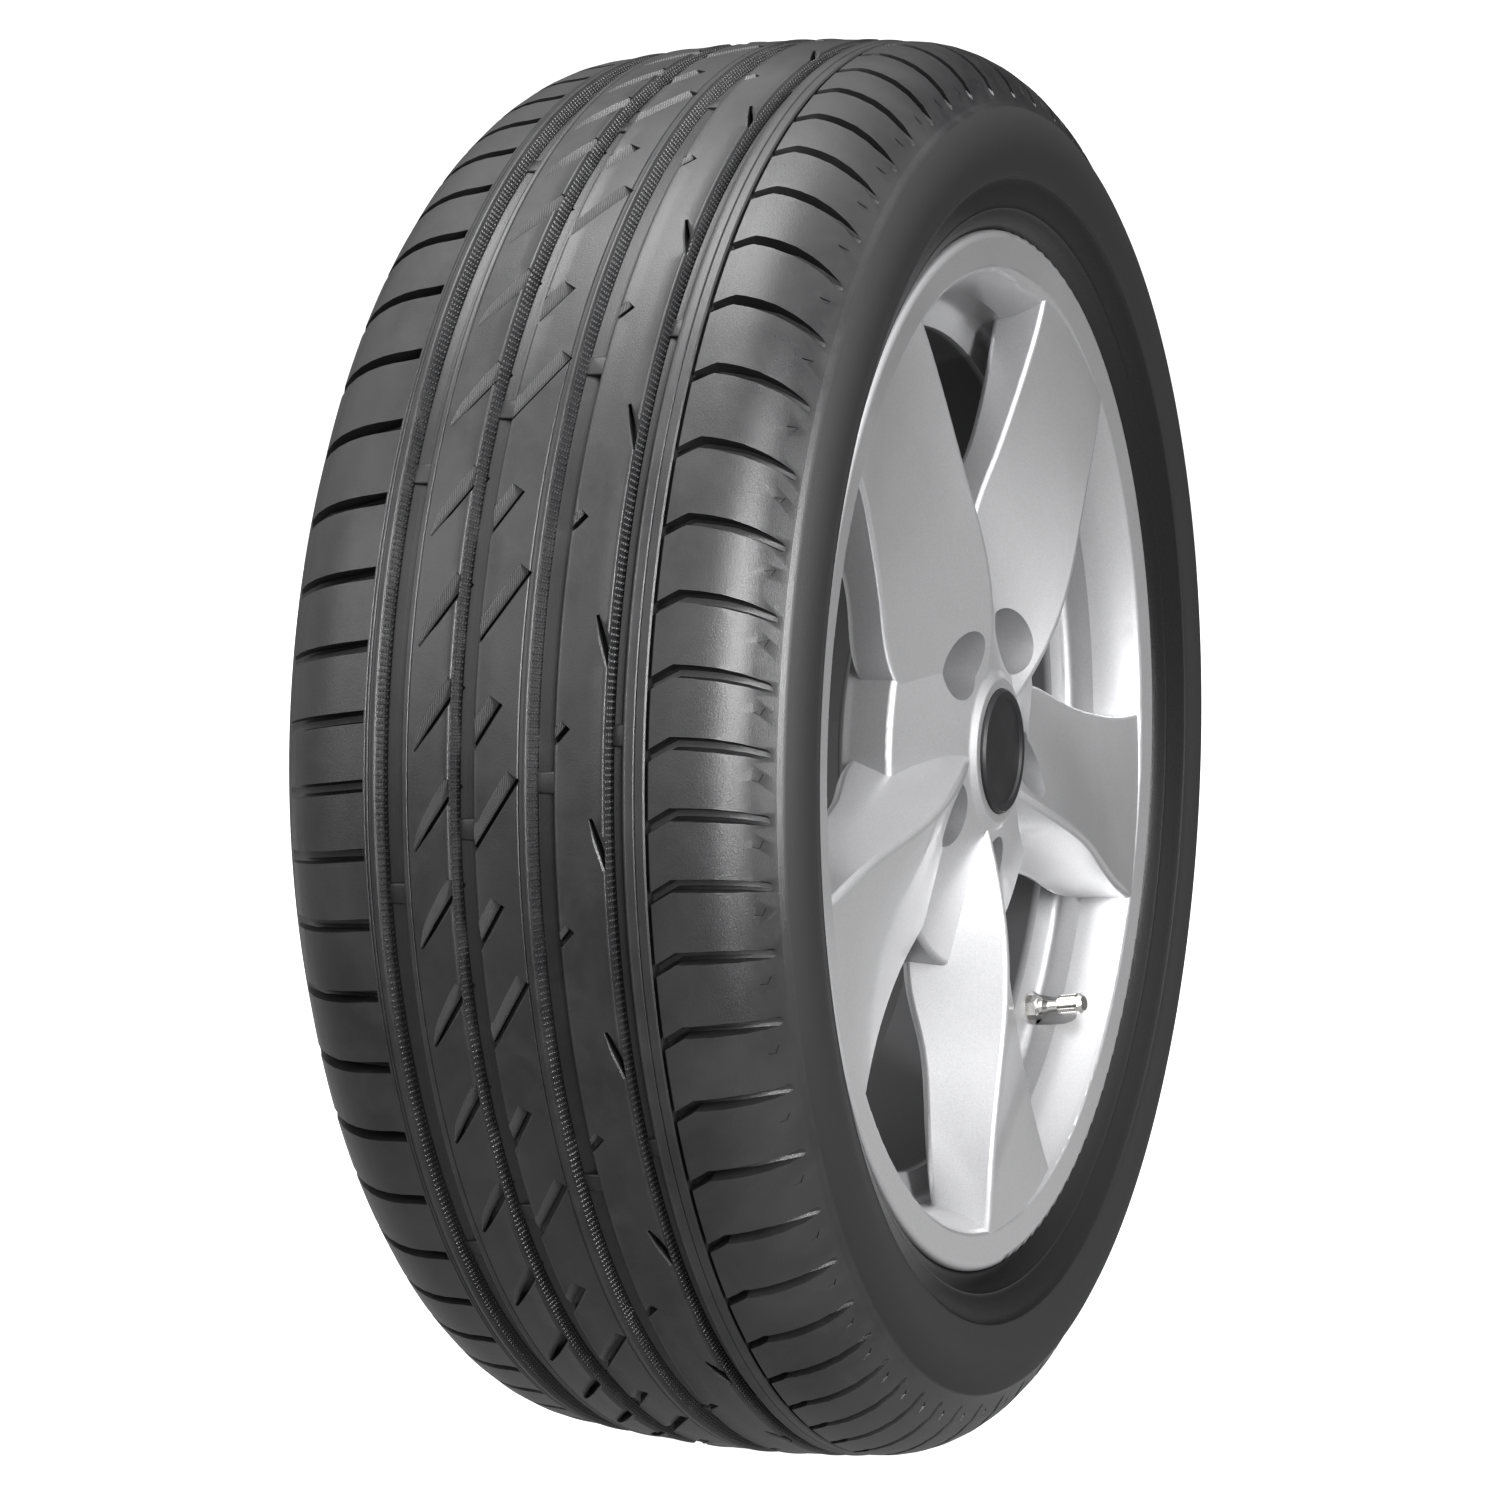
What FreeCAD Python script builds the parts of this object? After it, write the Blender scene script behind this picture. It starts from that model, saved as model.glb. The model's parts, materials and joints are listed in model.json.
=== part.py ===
import FreeCAD
import Part
import math
import os

V = FreeCAD.Vector

# Frame: origin in the wheel centre on the tyre's middle plane, axle along Y,
# visible face towards -Y, Z up. All sizes in mm.

# Tyre
TYRE_RADIUS = 323.4
CROWN_ARC = 560.0
TREAD_EDGE = 63.0
SHOULDER_MID = (92.0, 309.5)
LUG_END = (105.0, 291.6)
SIDEWALL_UPPER = (111.6, 282.0)
SIDEWALL_WIDEST = (113.0, 272.0)
SIDEWALL_LOWER = (108.6, 258.0)
SIDEWALL_FOOT = (98.8, 239.0)
TREAD_DEPTH = 8.0
GROOVE_SLOPE = 1.8
GROOVES = ((51.0, 37.7), (17.9, 6.0), (-15.3, -27.8), (-46.9, -55.1))
LINER_CROWN = 306.0
LINER_EDGE = (62.0, 303.5)
LINER_SHOULDER = (95.0, 289.0)
LINER_WIDEST = (104.5, 270.0)
LINER_LOWER = (99.0, 251.0)
LINER_FOOT = (82.0, 233.0)

# Tread pattern: one pitch repeats round the tyre
PITCHES = 24
PITCH_SWING = 0.0167
PITCH_WAVES = 6
PITCH_PHASE = 149.0
SHOULDER_SLOTS = 68
SLOT_WIDTH = 5.0
SLOT_DEPTH = 6.0
OUTER_SLOT_START = -64.0
OUTER_SLOT_AT = 1.31
OUTER_SLOT_TILT = 1.0
INNER_SLOT_START = 56.0
INNER_SLOT_AT = 5.16
INNER_SLOT_TILT = 6.5
SLOT_KNEE = (88.0, 305.5)
SLOT_EXIT = (108.5, 288.0)
SLOT_REACH = 116.0
BAR_DEPTH = 6.0
FLOOR_ROUND = 3.0
SIPE_AT = -63.9
SIPE_WIDTH = 1.2
SIPE_DEPTH = 3.0

# Slanted cuts in the ribs: how many in a pitch, degrees into the pitch, y from, y to,
# length along the tread, width
RIB_CUTS = ((2, 7.07, 30.5, 15.5, 22.0, 2.8), (1, 13.9, 8.0, -12.0, 30.0, 2.6),
            (1, 8.34, 8.0, -4.0, 19.0, 2.6), (1, 10.16, -25.5, -32.6, 6.5, 5.0),
            (1, 3.45, -41.8, -49.0, 5.0, 4.0))

# Rim, 7J x 17
BEAD_SEAT = 218.6
BEAD_TOE_DROP = 1.6
BEAD_TOE = 70.0
FLANGE_INSIDE = 88.9
FLANGE_STRAIGHT = 226.0
FLANGE_RADIUS = 235.8
FLANGE_EDGE = 95.0
FLANGE_FACE = 98.6
FLANGE_FACE_RADIUS = 232.0
FLANGE_TIP = (0.9, 1.0)
FLANGE_CURL = (6.9, 2.2)
HUMP = 0.9
HUMP_WIDTH = 3.0
LEDGE_DROP = 1.5
LEDGE_IN = 8.0
BACK_LIP = (5.0, 1.5)
BACK_HEEL = 2.0
BARREL_TAPER = 16.0
WELL_BLEND = (1.0, 2.0)
WALL = 6.2
WELL_RADIUS = 201.0
WELL_END = 6.0
WELL_RISE = 18.0
INNER_LEDGE = 213.0
LIP_RADIUS = 219.5
LIP_FACE = -96.8
LIP_BEVEL = (2.0, 2.4)
LIP_ROUND = 2.5
BARREL_START = -74.0
BARREL_FRONT = (213.2, -87.0)
BARREL_SHELF = 209.0
SHELF_ROUND = 5.0

# Blades, measured across (t), along (d) and outwards (y) in one blade's own frame
BLADES = 5
BLADE_ANGLE = 60.0
BLADE_END = 221.0
RIDGE = ((30, -13.0, -91.0), (60, -20.2, -100.8), (95, -25.2, -104.8), (130, -30.3, -103.6),
         (170, -38.2, -100.2), (200, -42.5, -98.4), (222, -44.5, -96.4))
MIDDLE = ((30, 4.0, -89.0), (60, 4.0, -88.6), (95, 9.0, -90.2), (130, 7.0, -91.6),
          (170, 3.0, -93.6), (200, 2.0, -95.2), (222, 4.0, -96.4))
LOW_EDGE = ((30, 20.0, -86.0), (60, 38.0, -82.0), (95, 46.0, -78.4), (130, 44.0, -82.2),
            (170, 44.6, -88.2), (200, 49.0, -93.2), (222, 57.0, -96.2))
LOW_FOOT_Y = (-68.0, -64.0, -60.0, -65.0, -68.0, -69.0, -70.0)
FLANK_FOOT = ((30, -24.0, -68.0), (60, -36.0, -64.0), (95, -43.0, -58.0), (130, -45.0, -65.0),
              (170, -48.5, -68.0), (200, -46.5, -69.0), (222, -47.0, -70.0))

RIDGE_ROUND = 3.0
LOW_ROUND = 2.0
BLADE_SINK = 1.8
BLADE_FRONT = -112.0
BLADE_BACK = -50.0

# Hub
HUB_FACE = -45.0
HUB_PAD_RADIUS = 76.0
HUB_WALL_RADIUS = 100.0
HUB_WALL_TOP = -78.0
HUB_WALL_FOOT = -56.0
HUB_WALL_ROUND = 3.0
HUB_BACK_STEP = (7.0, 5.0)
NOSE_FACE = -94.5
NOSE_RADIUS = 33.0
NOSE_ROUND = 1.5
RAMP_START = (37.0, -91.8)
RAMP_ROUND = 4.0
BORE_RADIUS = 28.55
BORE_END = -65.5
RELIEF_RADIUS = 30.5
RELIEF_END = -70.0
CAP_BORE_RADIUS = 25.2
CAP_SEAT_RADIUS = 28.9
CAP_SEAT = -85.0
PCD = 112.0
BOLTS = 5
BOLT_ANGLE = 62.0
BOLT_HOLE = 7.5
BOLT_POCKET = 15.5
BOLT_SEAT = -66.0
SEAT_CONE = 4.5
SEAT_RADIUS = 12.0
PAD_POCKET = 11.0
PAD_POCKET_DEPTH = 7.0

# Centre cap
CAP_RADIUS = 28.6
CAP_FACE = -96.8
CAP_DISC = 23.6
CAP_DISC_DROP = 1.2
CAP_SKIRT_WALL = 2.0
CAP_SKIRT_END = -68.6
CAP_CLAW = 0.9
CLAW_SLOTS = 6
CLAW_SLOT = 5.0
CLAW_SLOT_AT = 15.0
RING_THICK = 1.2
RING_HEIGHT = 3.0
RING_GAP = 6.0

# Valve, in its own frame: z runs out along the stem from the seat inside the tyre
VALVE_ANGLE = 317.5
VALVE_SEAT_R = 208.5
VALVE_SEAT_Y = -53.0
VALVE_LEAN = 13.0
VALVE_HOLE = 5.75
VALVE_POCKET = 9.5
STEM_FOOT = 7.4
STEM_FOOT_TOP = -1.6
STEM_FOOT_END = -4.6
STEM_RADIUS = 4.0
STEM_SHOULDER = 15.0
NECK_RADIUS = 3.0
NECK_START = 17.5
THREAD_START = 23.0
THREAD_RADIUS = 3.85
STEM_TOP = 33.6
AIR_BORE = 1.6
CORE_BORE = 2.45
CORE_BORE_START = 16.5
GROMMET_COLLAR = 5.65
GROMMET_COLLAR_TOP = 5.0
WASHER_RADIUS = 7.6
WASHER_THICK = 1.2
NUT_FLATS = 11.0
NUT_HEIGHT = 5.0
CORE_START = 21.0
CORE_TOP = 31.0
CORE_LIP = 1.6
CORE_INSIDE = 1.75
PIN_RADIUS = 0.65
PIN_END = 18.9
PIN_TOP = 32.4
PIN_HEAD = 1.5
PIN_COLLAR_Z = 29.8
PIN_COLLAR = 0.8
SEAL_RADIUS = 2.0
SEAL_THICK = 1.4
SPRING_RADIUS = 1.15
SPRING_WIRE = 0.22
SPRING_TURNS = 4
CAP_START = 24.0
VCAP_RADIUS = 5.2
VCAP_TOP = 37.0
VCAP_ROOF = 35.2
VCAP_FLUTES = 16
VCAP_FLUTE = 0.5
VCAP_SEAL = 1.4

# Clearances
BEAD_FIT = 0.05
CURL_GAP = 0.3
EDGE_GAP = 0.5
CAP_FIT = 0.1
VALVE_FIT = 0.05
THREAD_FIT = 0.08
TOUCH = 0.02


def crown(y):
    """Tread radius at a distance y from the middle plane."""
    return TYRE_RADIUS - y * y / (2.0 * CROWN_ARC)


def flat(r, y):
    """A point of a half section, drawn in the XY plane."""
    return V(r, y, 0)


def turned(steps):
    """Solid turned about Y. A step is a point, or a (mid, end) pair for an arc."""
    edges = []
    first = flat(*steps[0])
    here = first
    for step in steps[1:]:
        if isinstance(step[0], tuple):
            mid = flat(*step[0])
            end = flat(*step[1])
            edges.append(Part.Arc(here, mid, end).toShape())
        else:
            end = flat(*step)
            edges.append(Part.makeLine(here, end))
        here = end
    if here.distanceToPoint(first) > 1e-6:
        edges.append(Part.makeLine(here, first))
    face = Part.Face(Part.Wire(edges))
    return face.revolve(V(0, 0, 0), V(0, 1, 0), 360)


def rounded(before, corner, after, radius):
    """Steps for turned() that go round a corner: the arc's start, then its (mid, end) pair."""
    here = flat(*corner)
    back = (flat(*before) - here).normalize()
    on = (flat(*after) - here).normalize()
    half = back.getAngle(on) / 2.0
    cut = radius / math.tan(half)
    inward = (back + on).normalize()
    mid = here + inward * (radius / math.sin(half) - radius)
    start = here + back * cut
    end = here + on * cut
    return [(start.x, start.y), ((mid.x, mid.y), (end.x, end.y))]


def swap(point):
    """(y, r) as measured on the tyre, to (r, y) as drawn."""
    return (point[1], point[0])


def mirror(point):
    return (point[0], -point[1])


def seat_radius(y):
    """Bead seat radius at a distance y from the middle plane."""
    share = (FLANGE_INSIDE - abs(y)) / (FLANGE_INSIDE - BEAD_TOE)
    return BEAD_SEAT - BEAD_TOE_DROP * share


def turn_y(shape, degrees):
    """Copy of a shape turned about the axle, from +X towards +Z."""
    copy = shape.copy()
    copy.rotate(V(0, 0, 0), V(0, 1, 0), -degrees)
    return copy


def pitch_angle(even):
    """Angle of a place in an even pattern; the real pitches grow and shrink round the tyre."""
    swing = PITCH_SWING * math.sin(math.radians(PITCH_WAVES * (even - PITCH_PHASE)))
    return even + math.degrees(swing)


def tyre_body():
    """The tyre turned in one piece, with its rain grooves and air space."""
    edge = swap((TREAD_EDGE, crown(TREAD_EDGE)))
    heel = (seat_radius(FLANGE_INSIDE) + BEAD_FIT, FLANGE_INSIDE - BEAD_FIT)
    rise = (FLANGE_STRAIGHT, FLANGE_INSIDE - BEAD_FIT)
    over_mid = (FLANGE_STRAIGHT + FLANGE_CURL[0] + CURL_GAP, FLANGE_INSIDE + FLANGE_CURL[1] - CURL_GAP)
    over_end = (FLANGE_RADIUS + EDGE_GAP, FLANGE_EDGE + CURL_GAP)
    toe = (seat_radius(BEAD_TOE + 1.0) + BEAD_FIT, BEAD_TOE + 1.0)
    outside = [edge, (swap(SHOULDER_MID), swap(LUG_END)),
               (swap(SIDEWALL_UPPER), swap(SIDEWALL_WIDEST)),
               (swap(SIDEWALL_LOWER), swap(SIDEWALL_FOOT)), over_end, (over_mid, rise), heel, toe]
    liner = [swap(LINER_FOOT), (swap(LINER_LOWER), swap(LINER_WIDEST)),
             (swap(LINER_SHOULDER), swap(LINER_EDGE))]
    steps = []
    for high, low in GROOVES:
        top = (crown(high), high)
        floor = (crown(high) - TREAD_DEPTH, high - GROOVE_SLOPE)
        far = (crown(low) - TREAD_DEPTH, low + GROOVE_SLOPE)
        end = (crown(low), low)
        steps.append(top)
        steps.extend(rounded(top, floor, far, FLOOR_ROUND))
        steps.append(far)
        steps.append(end)
    low_side = []
    for step in outside + liner:
        if isinstance(step[0], tuple):
            low_side.append((mirror(step[0]), mirror(step[1])))
        else:
            low_side.append(mirror(step))
    steps = steps + low_side
    steps.append((LINER_CROWN, 0.0))
    high_side = []
    points = [swap(LINER_EDGE), (swap(LINER_SHOULDER), swap(LINER_WIDEST)),
              (swap(LINER_LOWER), swap(LINER_FOOT)), toe, heel, rise, (over_mid, over_end),
              swap(SIDEWALL_FOOT), (swap(SIDEWALL_LOWER), swap(SIDEWALL_WIDEST)),
              (swap(SIDEWALL_UPPER), swap(LUG_END)), (swap(SHOULDER_MID), edge)]
    high_side.extend(points)
    return turned(steps + high_side)


def slot_tool(start, side, tilt):
    """Cutter for one shoulder slot: deep at the tread, running out over the shoulder."""
    top = TYRE_RADIUS + 10.0
    line = [(start, top), (start, crown(start) - SLOT_DEPTH),
            (side * SLOT_KNEE[0], SLOT_KNEE[1]), (side * SLOT_EXIT[0], SLOT_EXIT[1]),
            (side * SLOT_REACH, top)]
    wire = Part.makePolygon([V(r, y, -SLOT_WIDTH / 2) for y, r in line + line[:1]])
    tool = Part.Face(wire).extrude(V(0, 0, SLOT_WIDTH))
    tool.rotate(V(0, start, 0), V(1, 0, 0), tilt)
    return tool


def bar_tool(high, low, along, width):
    """Cutter for one slanted cut in a rib, from y low at the angle given to y high further on."""
    length = math.hypot(high - low, along)
    floor = crown((high + low) / 2) - BAR_DEPTH
    tool = Part.makeBox(BAR_DEPTH + 6.0, length, width, V(floor, -length / 2, -width / 2))
    tool.rotate(V(0, 0, 0), V(1, 0, 0), math.degrees(math.atan2(along, high - low)))
    tool.translate(V(0, (high + low) / 2, along / 2))
    return tool


def make_tyre():
    low = SIPE_AT - SIPE_WIDTH / 2
    high = SIPE_AT + SIPE_WIDTH / 2
    floor = crown(SIPE_AT) - SIPE_DEPTH
    sipe = turned([(floor, low), (TYRE_RADIUS, low), (TYRE_RADIUS, high), (floor, high)])
    body = tyre_body().cut(sipe)
    tools = []
    outer = slot_tool(OUTER_SLOT_START, -1.0, OUTER_SLOT_TILT)
    inner = slot_tool(INNER_SLOT_START, 1.0, INNER_SLOT_TILT)
    step = 360.0 / SHOULDER_SLOTS
    for i in range(SHOULDER_SLOTS):
        tools.append(turn_y(outer, pitch_angle(OUTER_SLOT_AT + step * i)))
        tools.append(turn_y(inner, pitch_angle(INNER_SLOT_AT + step * i)))
    for count, start, high, low, along, width in RIB_CUTS:
        tool = bar_tool(high, low, along, width)
        step = 360.0 / PITCHES / count
        for i in range(PITCHES * count):
            tools.append(turn_y(tool, pitch_angle(start + step * i)))
    return body.cut(Part.makeCompound(tools))


def make_rim():
    """Flanges, bead seats, well and barrel, turned in one piece."""
    half = []
    toe = BEAD_SEAT - BEAD_TOE_DROP
    ledge = toe - LEDGE_DROP
    tip = (FLANGE_RADIUS - FLANGE_TIP[0], FLANGE_FACE - FLANGE_TIP[1])
    curl = (FLANGE_STRAIGHT + FLANGE_CURL[0], FLANGE_INSIDE + FLANGE_CURL[1])
    flange = [(FLANGE_FACE_RADIUS, FLANGE_FACE), (tip, (FLANGE_RADIUS, FLANGE_EDGE)),
              (curl, (FLANGE_STRAIGHT, FLANGE_INSIDE)), (BEAD_SEAT, FLANGE_INSIDE), (toe, BEAD_TOE),
              (toe + HUMP, BEAD_TOE - HUMP_WIDTH), (ledge, BEAD_TOE - LEDGE_IN)]
    for step in flange:
        if isinstance(step[0], tuple):
            half.append((mirror(step[0]), mirror(step[1])))
        else:
            half.append(mirror(step))
    lean = math.tan(math.radians(VALVE_LEAN))
    step_top = (ledge, VALVE_SEAT_Y - (ledge - VALVE_SEAT_R) * lean)
    step_foot = (WELL_RADIUS, VALVE_SEAT_Y - (WELL_RADIUS - VALVE_SEAT_R) * lean)
    well_end = (WELL_RADIUS, WELL_END)
    rise = (INNER_LEDGE, WELL_END + WELL_RISE)
    back = [(ledge, BEAD_TOE - LEDGE_IN), (toe + HUMP, BEAD_TOE - HUMP_WIDTH), (toe, BEAD_TOE),
            (BEAD_SEAT, FLANGE_INSIDE), (FLANGE_STRAIGHT, FLANGE_INSIDE),
            (curl, (FLANGE_RADIUS, FLANGE_EDGE)), (tip, (FLANGE_FACE_RADIUS, FLANGE_FACE))]
    thick = WALL / math.cos(math.radians(VALVE_LEAN))
    shelf_y = VALVE_SEAT_Y - thick - (BARREL_SHELF - VALVE_SEAT_R) * lean
    inside_well = WELL_RADIUS - WALL
    well_front = (inside_well, VALVE_SEAT_Y - thick - (inside_well - VALVE_SEAT_R) * lean)
    shelf = (BARREL_SHELF, shelf_y)
    barrel = (BARREL_SHELF, BARREL_START)
    bevel = (LIP_RADIUS - LIP_BEVEL[0], LIP_FACE + LIP_BEVEL[1])
    inside = [(FLANGE_FACE_RADIUS - BACK_LIP[0], FLANGE_FACE - BACK_LIP[1]),
              (BEAD_SEAT - BACK_HEEL, FLANGE_INSIDE + WALL), (BEAD_SEAT - WALL, FLANGE_INSIDE - BACK_HEEL),
              (INNER_LEDGE - WALL, BEAD_TOE - BARREL_TAPER), (INNER_LEDGE - WALL, rise[1] + WELL_BLEND[1]),
              (inside_well, WELL_END + WELL_BLEND[0]), well_front]
    inside = inside + rounded(well_front, shelf, barrel, SHELF_ROUND) + [barrel, (BARREL_FRONT, bevel)]
    inside = inside + rounded(bevel, (LIP_RADIUS, LIP_FACE), (FLANGE_FACE_RADIUS, -FLANGE_FACE), LIP_ROUND)
    return turned(half + [step_top, step_foot, well_end, rise] + back + inside)


def blade_point(place, y=None):
    """Place a point given along, across and outwards in the first blade's frame."""
    d, t, out = place
    angle = math.radians(BLADE_ANGLE)
    x = d * math.cos(angle) - t * math.sin(angle)
    z = d * math.sin(angle) + t * math.cos(angle)
    return V(x, out if y is None else y, z)


def long_edges(shape, place, y=None):
    """The edges that run along a blade and end at a place of its last section."""
    end = blade_point(place, y)
    found = []
    for edge in shape.Edges:
        near = min(vertex.Point.distanceToPoint(end) for vertex in edge.Vertexes)
        if near < 0.5 and edge.Length > BLADE_END / 2:
            found.append(edge)
    return found


def make_blade():
    """One twisted blade: a high ridge on one side, a low edge on the other, its face hollow between."""
    wires = []
    for ridge, mid, low, low_foot, flank in zip(RIDGE, MIDDLE, LOW_EDGE, LOW_FOOT_Y, FLANK_FOOT):
        high = blade_point(ridge)
        edge = blade_point(low)
        foot = blade_point(low, low_foot)
        heel = blade_point(flank)
        face = Part.Arc(high, blade_point(mid), edge).toShape()
        wires.append(Part.Wire([face, Part.makeLine(edge, foot), Part.makeLine(foot, heel),
                                Part.makeLine(heel, high)]))
    blade = Part.makeLoft(wires, True, False)
    feet = long_edges(blade, LOW_EDGE[-1], LOW_FOOT_Y[-1]) + long_edges(blade, FLANK_FOOT[-1])
    blade = blade.makeFillet(RIDGE_ROUND, long_edges(blade, RIDGE[-1]) + feet)
    blade = blade.makeFillet(LOW_ROUND, long_edges(blade, LOW_EDGE[-1]))
    limit = turned([(0.01, BLADE_FRONT), (BLADE_END, BLADE_FRONT), (BLADE_END, LIP_FACE + BLADE_SINK),
                    (BARREL_FRONT[0] + BLADE_SINK, BARREL_FRONT[1]),
                    (BARREL_SHELF + BLADE_SINK, BARREL_START), (BARREL_SHELF + BLADE_SINK, BLADE_BACK),
                    (0.01, BLADE_BACK)])
    return blade.common(limit)


def make_hub():
    nose = (NOSE_RADIUS, NOSE_FACE)
    wall_top = (HUB_WALL_RADIUS, HUB_WALL_TOP)
    wall_foot = (HUB_WALL_RADIUS, HUB_WALL_FOOT)
    seat = (CAP_SEAT_RADIUS, NOSE_FACE)
    steps = [seat]
    steps.extend(rounded(seat, nose, RAMP_START, NOSE_ROUND))
    steps.extend(rounded(nose, RAMP_START, wall_top, RAMP_ROUND))
    steps.extend(rounded(RAMP_START, wall_top, wall_foot, HUB_WALL_ROUND))
    steps.extend([wall_foot, (HUB_WALL_RADIUS - HUB_BACK_STEP[0], HUB_WALL_FOOT + HUB_BACK_STEP[1]),
                  (HUB_PAD_RADIUS, HUB_FACE), (BORE_RADIUS, HUB_FACE), (BORE_RADIUS, BORE_END),
                  (RELIEF_RADIUS, BORE_END), (RELIEF_RADIUS, RELIEF_END), (CAP_BORE_RADIUS, RELIEF_END),
                  (CAP_BORE_RADIUS, CAP_SEAT), (CAP_SEAT_RADIUS, CAP_SEAT)])
    return turned(steps)


def axle_cylinder(radius, y0, y1, at, angle):
    """Cylinder along the axle direction, at a distance and angle from the axle."""
    a = math.radians(angle)
    base = V(at * math.cos(a), min(y0, y1), at * math.sin(a))
    return Part.makeCylinder(radius, abs(y1 - y0), base, V(0, 1, 0))


def valve_place(shape):
    """Move a shape from the valve's own frame to its place in the rim."""
    lean = math.radians(VALVE_LEAN)
    copy = shape.copy()
    turn = FreeCAD.Rotation(V(0, 0, 1), V(-math.sin(lean), -math.cos(lean), 0))
    copy.Placement = FreeCAD.Placement(V(VALVE_SEAT_R, VALVE_SEAT_Y, 0), turn)
    return turn_y(copy, VALVE_ANGLE)


def make_wheel():
    wheel = make_rim()
    blade = make_blade()
    blades = [turn_y(blade, 360.0 / BLADES * i) for i in range(BLADES)]
    hub = make_hub()
    wheel = wheel.fuse(blades + [hub])
    cuts = []
    pocket = SEAT_RADIUS - BOLT_HOLE
    for i in range(BOLTS):
        angle = BOLT_ANGLE + 360.0 / BOLTS * i
        a = math.radians(angle)
        cuts.append(axle_cylinder(BOLT_POCKET, BLADE_FRONT, BOLT_SEAT, PCD / 2, angle))
        cuts.append(axle_cylinder(BOLT_HOLE, BLADE_FRONT, HUB_FACE + 5.0, PCD / 2, angle))
        foot = V(PCD / 2 * math.cos(a), BOLT_SEAT, PCD / 2 * math.sin(a))
        cuts.append(Part.makeCone(SEAT_RADIUS, SEAT_RADIUS - pocket, SEAT_CONE, foot, V(0, 1, 0)))
        half = angle + 180.0 / BOLTS
        cuts.append(axle_cylinder(PAD_POCKET, HUB_FACE - PAD_POCKET_DEPTH, HUB_FACE + 5.0,
                                  PCD / 2, half))
    cuts.append(axle_cylinder(CAP_SEAT_RADIUS, BLADE_FRONT, CAP_SEAT, 0.0, 0.0))
    cuts.append(axle_cylinder(CAP_BORE_RADIUS, BLADE_FRONT, RELIEF_END, 0.0, 0.0))
    cuts.append(valve_place(Part.makeCylinder(VALVE_HOLE, WALL * 3.0, V(0, 0, -WALL))))
    cuts.append(valve_place(Part.makeCylinder(VALVE_POCKET, 22.0, V(0, 0, WALL))))
    wheel = wheel.cut(cuts)
    return wheel.removeSplitter()


def make_cap():
    skirt = CAP_BORE_RADIUS - CAP_FIT
    body = turned([(0.0, CAP_FACE + CAP_DISC_DROP), (CAP_DISC, CAP_FACE + CAP_DISC_DROP),
                   (CAP_DISC + 0.6, CAP_FACE), (CAP_RADIUS - 1.2, CAP_FACE),
                   (CAP_RADIUS, CAP_FACE + 1.2), (CAP_RADIUS, CAP_SEAT), (skirt, CAP_SEAT),
                   (skirt, RELIEF_END + CAP_FIT), (skirt + CAP_CLAW, RELIEF_END + CAP_FIT),
                   (skirt, CAP_SKIRT_END), (skirt - CAP_SKIRT_WALL, CAP_SKIRT_END),
                   (skirt - CAP_SKIRT_WALL, CAP_SEAT + 1.0), (0.0, CAP_SEAT + 1.0)])
    cuts = []
    for i in range(CLAW_SLOTS):
        box = Part.makeBox(CAP_RADIUS, 30.0, CLAW_SLOT, V(0, CAP_SEAT + 1.5, -CLAW_SLOT / 2))
        cuts.append(turn_y(box, 360.0 / CLAW_SLOTS * i + CLAW_SLOT_AT))
    return body.cut(cuts)


def make_cap_ring():
    inside = CAP_BORE_RADIUS - CAP_FIT - CAP_SKIRT_WALL
    foot = CAP_SKIRT_END - RING_HEIGHT
    ring = turned([(inside, foot), (inside, CAP_SKIRT_END), (inside - RING_THICK, CAP_SKIRT_END),
                   (inside - RING_THICK, foot)])
    gap = Part.makeBox(CAP_RADIUS, 30.0, RING_GAP, V(0, foot - 5.0, -RING_GAP / 2))
    return ring.cut(turn_y(gap, CLAW_SLOT_AT))


def spun(points):
    """Solid turned about the stem's axis from (radius, z) points."""
    loop = [V(r, 0, z) for r, z in points]
    face = Part.Face(Part.makePolygon(loop + loop[:1]))
    return face.revolve(V(0, 0, 0), V(0, 0, 1), 360)


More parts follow.
